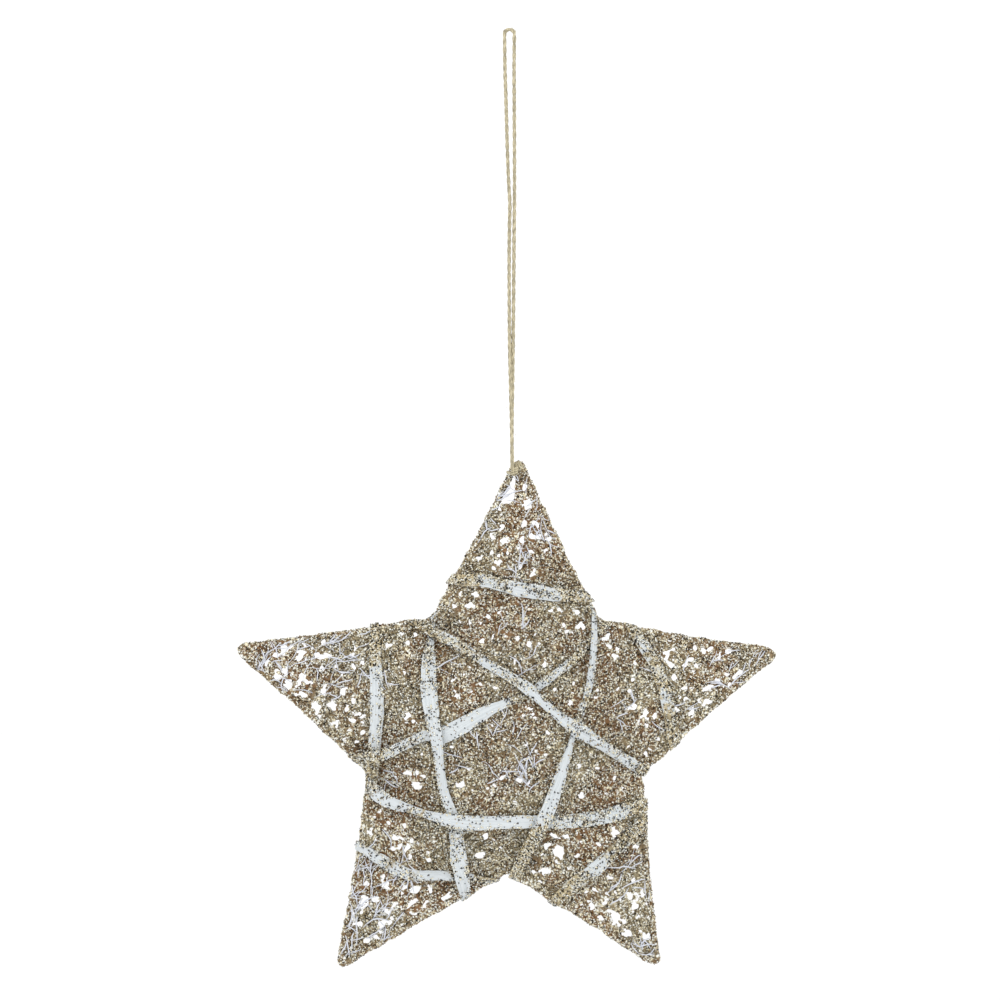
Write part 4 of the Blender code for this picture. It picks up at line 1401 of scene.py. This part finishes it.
STATION_STEP = 1.6 * MM
LANES = 9
STRIP_LIFT = 2.2 * MM
STRIP_RIM = 1.8 * MM
RIM_EASE = 14.0 * MM
RIM_PINCH = 0.25
CROWN = 0.35 * MM
ROUTE_STEP = 1.0 * MM
RUN_ON = 24.0 * MM
MOST_SLANT = 0.7  # how far a strip's edge may turn before or after its middle line at the rim, in widths
ACROSS = (-1.0, -0.5, 0.0, 0.5, 1.0)  # where a strip is held off the web, in half widths
RIM_TURN_POINTS = 12
WAY_SMOOTHING = 2  # points on either side
FOLD = 0.1 * MM
FOLD_STATIONS = 6
RAGGED = 0.03
PINCH_POWER = 4
STRIP_MERGING = 0.02 * MM
SMOOTH_ANGLE = math.radians(40)
DUST_PER_AREA = 8e6  # flakes in a square metre
DUST_PATCH_WIDTH = 5.0 * MM
DUST_SMOOTHING = 0.5  # how far thick dust hides the single flakes
DUST_PATCHES = 0.5  # how much the patches add or take
DUST_CLEAN = 0.1  # up to this share of glitter the patches leave the paper clean
BOTH_EDGES = (0.7, 0.66, 0.4)  # most glitter, from how many half widths out, what is added to the patches
DUSTY_EDGE = (0.55, 0.3, 0.9)
LEAST_DUST = 0.025
BACK_DUST = 0.6
STRIP_DARK_SHARE = 0.38


def run_on(end, before):
    """A point beyond a strip's end, as wide as the strip is there."""
    farther = end + (end - before) / np.linalg.norm((end - before)[:2]) * RUN_ON
    farther[2] = end[2]
    return farther


class FrontRoute:
    """A strip's middle line as it shows from the front, with its width, read by the length along it."""

    def __init__(self, stations):
        points = np.array(stations) * MM
        first, last = run_on(*points[:2]), run_on(*points[:-3:-1])
        route = smooth_route(np.vstack((first, points, last)), ROUTE_STEP)
        self.flat = route[:, :2]
        self.widths = route[:, 2]
        steps = np.linalg.norm(np.diff(self.flat, axis=0), axis=1)
        self.reach = np.concatenate(([0.0], np.cumsum(steps)))
        ways = np.gradient(self.flat, axis=0)
        near = WAY_SMOOTHING
        ways = np.array([ways[max(0, i - near) : i + near + 1].mean(axis=0) for i in range(len(ways))])
        self.ways = unit(ways)

    def at(self, distance):
        """The point, the way across and the width at this length."""
        flat = np.array([np.interp(distance, self.reach, self.flat[:, axis]) for axis in (0, 1)])
        way = np.array([np.interp(distance, self.reach, self.ways[:, axis]) for axis in (0, 1)])
        return flat, np.array((-way[1], way[0])), np.interp(distance, self.reach, self.widths)

    def span(self, offset):
        """The lengths at which a line beside the middle one enters and leaves the star."""
        points = np.array([self.beside(distance, offset) for distance in self.reach])
        outside = np.flatnonzero(~inside(points, OUTLINE))
        middle = len(points) // 2
        start = max(outside[outside < middle], default=-1) + 1
        end = min(outside[outside > middle], default=len(points)) - 1
        return self.reach[start], self.reach[end]

    def beside(self, distance, offset):
        """The point beside the middle line, an offset of 1 being the left edge."""
        flat, across, width = self.at(distance)
        return flat + across * offset * width / 2


def strip_loop(route, surfaces):
    """The strip's taut loop round the star as (length, height) rows, in front (minus) and behind (plus)."""
    start, end = route.span(0.0)
    rows = []
    for distance in np.arange(start, end, ROUTE_STEP):
        for side in SIDES.values():
            spots = [route.beside(distance, offset) for offset in ACROSS]
            heights = [height_over(surfaces[side], spot, side) for spot in spots]
            height = max((h for h in heights if h is not None), default=0.0)
            rows.append((distance, side * (height + STRIP_LIFT)))
    for middle in (start, end):
        for angle in np.linspace(0, math.tau, RIM_TURN_POINTS, endpoint=False):
            rows.append((middle + STRIP_RIM * math.cos(angle), STRIP_RIM * math.sin(angle)))
    hull = np.array([rows[i] for i in convex_hull_2d([Vector(row) for row in rows])])
    return resampled(hull, STATION_STEP), start, end


def lay_strip(name, stations, surfaces, thickness, draws):
    """A paper band bent round the star, with a low crown, folds along it and its own UV map."""
    route = FrontRoute(stations)
    loop, start, end = strip_loop(route, surfaces)
    slant = MOST_SLANT * route.widths[[0, -1]]
    slants = [np.clip(np.array(route.span(edge)) - (start, end), -slant, slant) for edge in (-1.0, 1.0)]
    bpy.ops.object.select_all(action="DESELECT")
    bpy.ops.mesh.primitive_grid_add(x_subdivisions=LANES - 1, y_subdivisions=len(loop), size=2.0)
    strip = bpy.context.object
    folds = draws.normal(0, FOLD, (LANES, len(loop) // FOLD_STATIONS + 2))
    ragged = draws.normal(1.0, RAGGED, (2, len(loop) + 1))
    ragged[:, -1] = ragged[:, 0]
    folds[:, -1] = folds[:, 0]
    centre = loop.mean(axis=0)
    for vertex in strip.data.vertices:
        lane = vertex.co.x
        row = round((vertex.co.y + 1) / 2 * len(loop))
        distance, height = loop[row % len(loop)]
        share = (lane + 1) / 2
        near_start = min(1.0, max(0.0, 1 - (distance - start) / RIM_EASE))
        near_end = min(1.0, max(0.0, 1 - (end - distance) / RIM_EASE))
        shift = (slants[0] + (slants[1] - slants[0]) * share) @ (near_start, near_end)
        flat, across, width = route.at(distance + shift)
        edge = ragged[0 if lane < 0 else 1, row]
        pinch = 1 - RIM_PINCH * max(near_start, near_end) ** PINCH_POWER
        flat = flat + across * lane * edge * pinch * width / 2
        own_folds = folds[round(share * (LANES - 1))]
        fold = np.interp(row / len(loop) * (len(own_folds) - 1), np.arange(len(own_folds)), own_folds)
        rise = CROWN * (1 - lane * lane) + fold - 0.5 * CROWN
        away = loop[row % len(loop)] - centre
        height += rise * math.copysign(1.0, away[1]) * min(1.0, abs(height) / (2 * STRIP_RIM))
        vertex.co = in_frame(flat, height, 1)
    merge_doubles(STRIP_MERGING)
    thicken(strip, thickness)
    bpy.ops.object.shade_smooth_by_angle(angle=SMOOTH_ANGLE)
    shape = bmesh.new()
    shape.from_mesh(strip.data)
    surface = surface_of(shape)
    for side in SIDES.values():
        surfaces[side].append(surface)
    return strip, route, start, end


def edge_dusting(lane, patch, numbers):
    """Glitter beyond a lane, where the patches leave it."""
    most, beyond, more = numbers
    return most * (lane > beyond) * np.clip(patch + more, 0, 1)


def dusting_at(points, laid, dust, dusty_edge, patches):
    """How thickly the glitter lies at points of a strip, from 0 to 1."""
    route, start, end = laid
    flat = points[:, (0, 2)] - (MIDDLE.x, MIDDLE.z)
    nearest = np.linalg.norm(flat[:, None] - route.flat[None], axis=2).argmin(axis=1)
    share = (route.reach[nearest] - start) / (end - start)
    ways = route.ways[nearest]
    offsets = flat - route.flat[nearest]
    lane = (offsets[:, 1] * ways[:, 0] - offsets[:, 0] * ways[:, 1]) / (route.widths[nearest] / 2)
    patch = patches(flat) - 0.5
    cover = np.interp(share, *np.array(dust).T)
    cover = np.clip(cover + DUST_PATCHES * patch * (cover > DUST_CLEAN), 0.0, 1.0)
    cover = np.maximum(cover, edge_dusting(np.abs(lane), patch, BOTH_EDGES))
    cover = np.maximum(cover, edge_dusting(lane * dusty_edge, patch, DUSTY_EDGE))
    return np.where(points[:, 1] < MIDDLE.y, np.maximum(cover, LEAST_DUST), BACK_DUST * cover)


def dust_strip(strip, laid, dust, dusty_edge, draws):
    """Marks where the paper is dusted, and gives the places and normals of the flakes on it."""
    patches = patchiness(draws, DUST_PATCH_WIDTH)
    points = np.array([vertex.co[:] for vertex in strip.data.vertices])
    mark = strip.data.attributes.new("dusting", "FLOAT", "POINT")
    mark.data.foreach_set("value", dusting_at(points, laid, dust, dusty_edge, patches))
    corners, normals, areas = triangles_of(strip.data)
    middles = corners.mean(axis=1)
    outward = (normals * (middles - np.array(MIDDLE))).sum(axis=1) > 0
    cover = dusting_at(middles, laid, dust, dusty_edge, patches)
    weights = areas * outward * cover * (1 - DUST_SMOOTHING * cover)
    return points_on(corners, normals, weights, int(weights.sum() * DUST_PER_AREA), draws)


class STAR_OT_wrap_strips(bpy.types.Operator):
    """Wraps the ten paper strips round the star, each over those wound before it, and dusts them"""

    bl_idname = "star.wrap_strips"
    bl_label = "Wrap the paper strips"

    def execute(self, context):
        sizes, colours = context.scene.star_sizes, context.scene.star_colours
        finish = paint_paper(colours)
        draws = draws_for("strips")
        surfaces = {side: [FORMS[side]] for side in SIDES.values()}
        places, normals = [], []
        for name, (stations, dust, dusty_edge) in STRIPS.items():
            strip, *laid = lay_strip(name, stations, surfaces, sizes.strip_thickness, draws)
            add_piece("paper_" + name, finish, (name,))
            where, facing = dust_strip(strip, laid, dust, dusty_edge, draws)
            places.append(where)
            normals.append(facing)
        places, normals = np.vstack(places), np.vstack(normals)
        scatter_chips("strip_glitter", places, normals, sizes.flake_size, draws, STRIP_DARK_SHARE)
        add_piece("strip_glitter", paint_flakes(colours))
        return {"FINISHED"}


# Twine and knot

ROUND_POINTS = 7  # round the top of the loop
TWINE_STEP = 0.3 * MM
PATH_STEP = 2.0 * MM
PLY_OFFSET = 0.13  # of the twine's diameter, as the ply's radius and the start of a hair
PLY_RADIUS = 0.36
HAIR_START = 0.2
PLY_SWELLING = 0.05
PLY_SWELLING_STEP = 0.37
HAIR_STEP = 11  # points of the route from hair to hair
HAIRLESS = 3  # points without a hair at each end
HAIR_POINTS = 4
HAIR_CURL = 0.28  # spread of a hair's steps, in millimetres
HAIR_RADIUS = 0.035 * MM
GROOVE_EDGE = 0.42  # distance from the twine's line in diameters where the painted groove shade begins
GROOVE_DEPTH = 0.12
BLOCK = 2000  # mesh corners that are measured at once
KNOT_BOTTOM = np.array((1.9, -3.2, -165.0)) * MM
KNOT_TOP = np.array((1.9, -3.2, -162.2)) * MM
KNOT_RADIUS, KNOT_TURNS = 1.05 * MM, 3.5
KNOT_SLOPE = 0.35
KNOT_THICKNESS = 0.7  # of the hanging twine's diameter
CAP_START = np.array((2.3, -0.2, -162.6)) * MM
CAP_END = np.array((4.7, -0.2, -161.3)) * MM
CAP_RADIUS, CAP_TURNS = 1.6 * MM, 3.2
RING_MIDDLE = np.array((0.8, -0.5, -164.7)) * MM
RING_WAY = unit(np.array([(0.92, 0.0, -0.38)]))[0]
RING_WIDTH, RING_DEPTH = 1.7 * MM, 2.6 * MM
RING_POINTS = 60
COIL_POINTS = 28  # to a turn


def cord_route(diameter, step):
    """The twine's middle line: up the left leg, round the top and down the right leg."""
    radius = LOOP_WIDTH / 2
    middle = np.array((0.0, 0.0, diameter / 2 - radius))
    angles = np.linspace(0, math.pi, ROUND_POINTS)
    loop = middle + radius * np.column_stack((-np.cos(angles), 0 * angles, np.sin(angles)))
    points = np.vstack((np.array(LEFT_LEG) * MM, loop, np.array(RIGHT_LEG) * MM))
    return smooth_route(points, step)


def plies(route, diameter, pitch, phase=0.0):
    """The two plies' routes, twisted about the twine's own line."""
    ways = unit(np.gradient(route, axis=0))
    reach = np.concatenate(([0.0], np.cumsum(np.linalg.norm(np.diff(route, axis=0), axis=1))))
    side = np.cross(ways[0], (0.0, 1.0, 0.0))
    sides = []
    for way in ways:
        side = side - way * side.dot(way)
        side /= np.linalg.norm(side)
        sides.append(side)
    sides = np.array(sides)
    fronts = np.cross(ways, sides)
    angles = phase + reach * math.tau / pitch
    radius = PLY_OFFSET * diameter
    twisted = []
    for turn in (0.0, math.pi):
        aside = sides * np.cos(angles + turn)[:, None] + fronts * np.sin(angles + turn)[:, None]
        twisted.append(route + aside * radius)
    return twisted


def twine_mesh(name, routes, diameter, pitch, draws):
    """Two-ply twine along each route, with painted shade in the groove between the plies and some loose
    fibres.
    """
    strands, radii = [], []
    for route in routes:
        for ply in plies(route, diameter, pitch):
            strands.append(ply)
            swelling = PLY_SWELLING * np.sin(np.arange(len(ply)) * PLY_SWELLING_STEP)
            radii.append(PLY_RADIUS * diameter * (1 + swelling))
    for route in routes:
        for index in range(HAIRLESS, len(route) - HAIRLESS, HAIR_STEP):
            start = route[index] + draws.normal(0, HAIR_START, 3) * diameter
            curl = draws.normal(0, HAIR_CURL, (HAIR_POINTS, 3)) * MM
            strands.append(start + np.cumsum(curl, axis=0))
            radii.append(HAIR_RADIUS)
    twine = tubes(name, strands, radii, sides=8)
    middle = np.vstack(routes)
    places = np.array([vertex.co[:] for vertex in twine.data.vertices])
    # Painted shade, darkest in the groove where the plies meet.
    groove = twine.data.attributes.new("groove", "FLOAT", "POINT")
    depth = np.empty(len(places))
    for first in range(0, len(places), BLOCK):
        block = slice(first, first + BLOCK)
        depth[block] = np.linalg.norm(places[block, None] - middle[None], axis=2).min(axis=1)
    groove.data.foreach_set("value", np.clip((GROOVE_EDGE - depth / diameter) / GROOVE_DEPTH, 0.0, 1.0))
    return twine


class STAR_OT_hang_twine(bpy.types.Operator):
    """Twists the cream twine of the hanging loop"""

    bl_idname = "star.hang_twine"
    bl_label = "Hang the twine"

    def execute(self, context):
        sizes, colours = context.scene.star_sizes, context.scene.star_colours
        route = cord_route(sizes.twine_diameter, TWINE_STEP)
        twine_mesh("twisted_twine", [route], sizes.twine_diameter, sizes.twine_pitch, draws_for("twine"))
        twine = add_piece("twisted_twine", paint_twine(colours), ("hanging_cord",))
        path = [tuple(point) for point in cord_route(sizes.twine_diameter, PATH_STEP)]
        knot = tie_knot(sizes, colours)
        return {"FINISHED"}


def coil(start, end, radius, turns):
    """A route that winds round the line from start to end, which doesn't lean forwards."""
    way = (end - start) / np.linalg.norm(end - start)
    side = np.cross((0.0, 1.0, 0.0), way)
    angles = np.linspace(0, turns * math.tau, int(turns * COIL_POINTS))[:, None]
    around = side * np.cos(angles) + np.cross(way, side) * np.sin(angles)
    return start + (end - start) * angles / angles[-1] + radius * around


def tie_knot(sizes, colours):
    """The knot's turns round the two legs, the small loop round the tip's wire and the turns over the tip."""
    wraps = coil(KNOT_BOTTOM, KNOT_TOP, KNOT_RADIUS, KNOT_TURNS)
    wraps[:, 2] += KNOT_SLOPE * (wraps[:, 0] - KNOT_BOTTOM[0])
    cap = coil(CAP_START, CAP_END, CAP_RADIUS, CAP_TURNS)
    angles = np.linspace(0, math.tau, RING_POINTS)[:, None]
    ring = RING_MIDDLE + RING_WIDTH * np.cos(angles) * RING_WAY
    ring[:, 1] += RING_DEPTH * np.sin(angles[:, 0])
    thickness = KNOT_THICKNESS * sizes.twine_diameter
    twine_mesh("tied_knot", [wraps, ring, cap], thickness, sizes.twine_pitch, draws_for("knot"))
    return add_piece("tied_knot", paint_twine(colours), ("knot",))


# Wire

RIDGE_WIRE_RADIUS = 0.45 * MM
RIDGE_SHARES = (1.0, 0.66, 0.33, 0.0)


def ridge_routes():
    """The ridge wires, from each tip's bend up to the peaks in front and behind."""
    routes = []
    for side in SIDES.values():
        for arm in ARMS:
            tip = tip_middle(arm)
            spots = [in_frame(tip * share, PEAK * (1 - share), side) for share in RIDGE_SHARES]
            routes.append(np.array(spots))
    return routes


class STAR_OT_bend_wire(bpy.types.Operator):
    """Bends the dark wire of the rim and the ridges"""

    bl_idname = "star.bend_wire"
    bl_label = "Bend the wire"

    def execute(self, context):
        rim = np.array([in_frame(point, 0.0, 1) for point in resampled(rim_route(), RIM_STEP)])
        rim_piece = tubes("rim_wire", [rim], [RIM_WIRE_RADIUS], closed=True)
        ridge_piece = tubes("ridge_wires", ridge_routes(), [RIDGE_WIRE_RADIUS] * 2 * len(TIPS))
        join(rim_piece, ridge_piece)
        add_piece("bent_wire", paint_wire(context.scene.star_colours), ("wire_frame",))
        return {"FINISHED"}


# Stage

FLOOR_SIZE = 6.0
FLOOR_COLOUR = (0.93, 0.93, 0.93, 1.0)
SKY_STRENGTH = 1.1
LAMPS = (  # (name, place from the star's middle, diameter, power)
    ("key_light", (-0.6, -1.2, 0.9), 0.6, 2.5),
    ("fill_light", (0.9, -0.9, 0.2), 0.8, 1.0),
)


def add_lamp(name, place, size, power):
    """A round lamp that points at the star's middle."""
    lamp = bpy.data.lights.new(name, "AREA")
    lamp.shape = "DISK"
    lamp.size = size
    lamp.energy = power
    item = bpy.data.objects.new(name, lamp)
    item.location = place
    item.rotation_euler = (MIDDLE - place).to_track_quat("-Z", "Y").to_euler()
    bpy.context.scene.collection.objects.link(item)


class STAR_OT_set_stage(bpy.types.Operator):
    """Sets the pale floor, the soft studio light and the camera"""

    bl_idname = "star.set_stage"
    bl_label = "Set the stage"

    def execute(self, context):
        scene = context.scene
        bpy.ops.object.select_all(action="DESELECT")
        low = CAD_BOX[0][2] - scene.star_sizes.floor_drop
        bpy.ops.mesh.primitive_plane_add(size=FLOOR_SIZE, location=(0, 0, low))
        floor = bpy.context.object
        floor.name = "studio_floor"
        paint = Paint("pale_floor", Roughness=0.8, Base_Color=FLOOR_COLOUR)
        floor.data.materials.append(paint.material)

        world = bpy.data.worlds.new("white_studio")
        world.use_nodes = True
        sky = world.node_tree.nodes["Background"].inputs
        sky["Color"].default_value = (1.0, 1.0, 1.0, 1.0)
        sky["Strength"].default_value = SKY_STRENGTH
        scene.world = world
        for name, place, size, power in LAMPS:
            add_lamp(name, MIDDLE + Vector(place), size, power)

        camera = bpy.data.cameras.new("photo_camera")
        camera.lens = LENS
        camera.sensor_width = SENSOR
        item = bpy.data.objects.new("photo_camera", camera)
        scene.collection.objects.link(item)
        item.location = (VIEW_AXIS[0], -VIEW_DISTANCE, VIEW_AXIS[1])
        item.rotation_euler = (math.pi / 2, 0, 0)
        scene.camera = item
        scene.view_settings.view_transform = "Standard"
        return {"FINISHED"}


class STAR_PT_panel(bpy.types.Panel):
    """Lists the steps and every size and colour in the sidebar"""

    bl_label = "Wire star"
    bl_space_type = "VIEW_3D"
    bl_region_type = "UI"
    bl_category = "Wire star"

    def draw(self, context):
        for operator in OPERATORS:
            self.layout.operator(operator.bl_idname)
        for group in (context.scene.star_sizes, context.scene.star_colours):
            for name in group.__annotations__:
                self.layout.prop(group, name)


OPERATORS = (
    STAR_OT_set_stage,
    STAR_OT_hang_twine,
    STAR_OT_bend_wire,
    STAR_OT_felt_web,
    STAR_OT_bind_rim,
    STAR_OT_sprinkle_glitter,
    STAR_OT_tease_fibres,
    STAR_OT_wrap_strips,
)
CLASSES = (StarSizes, StarColours, *OPERATORS, STAR_PT_panel)


def register():
    """Adds the classes, and the sizes and colours to the scene."""
    for item in CLASSES:
        bpy.utils.register_class(item)
    bpy.types.Scene.star_sizes = PointerProperty(type=StarSizes)
    bpy.types.Scene.star_colours = PointerProperty(type=StarColours)


def unregister():
    """Takes away what register adds."""
    del bpy.types.Scene.star_colours
    del bpy.types.Scene.star_sizes
    for item in reversed(CLASSES):
        bpy.utils.unregister_class(item)


def main():
    """Makes every piece in order."""
    register()
    for operator in OPERATORS:
        group, name = operator.bl_idname.split(".")
        getattr(getattr(bpy.ops, group), name)()


if __name__ == "__main__":
    main()
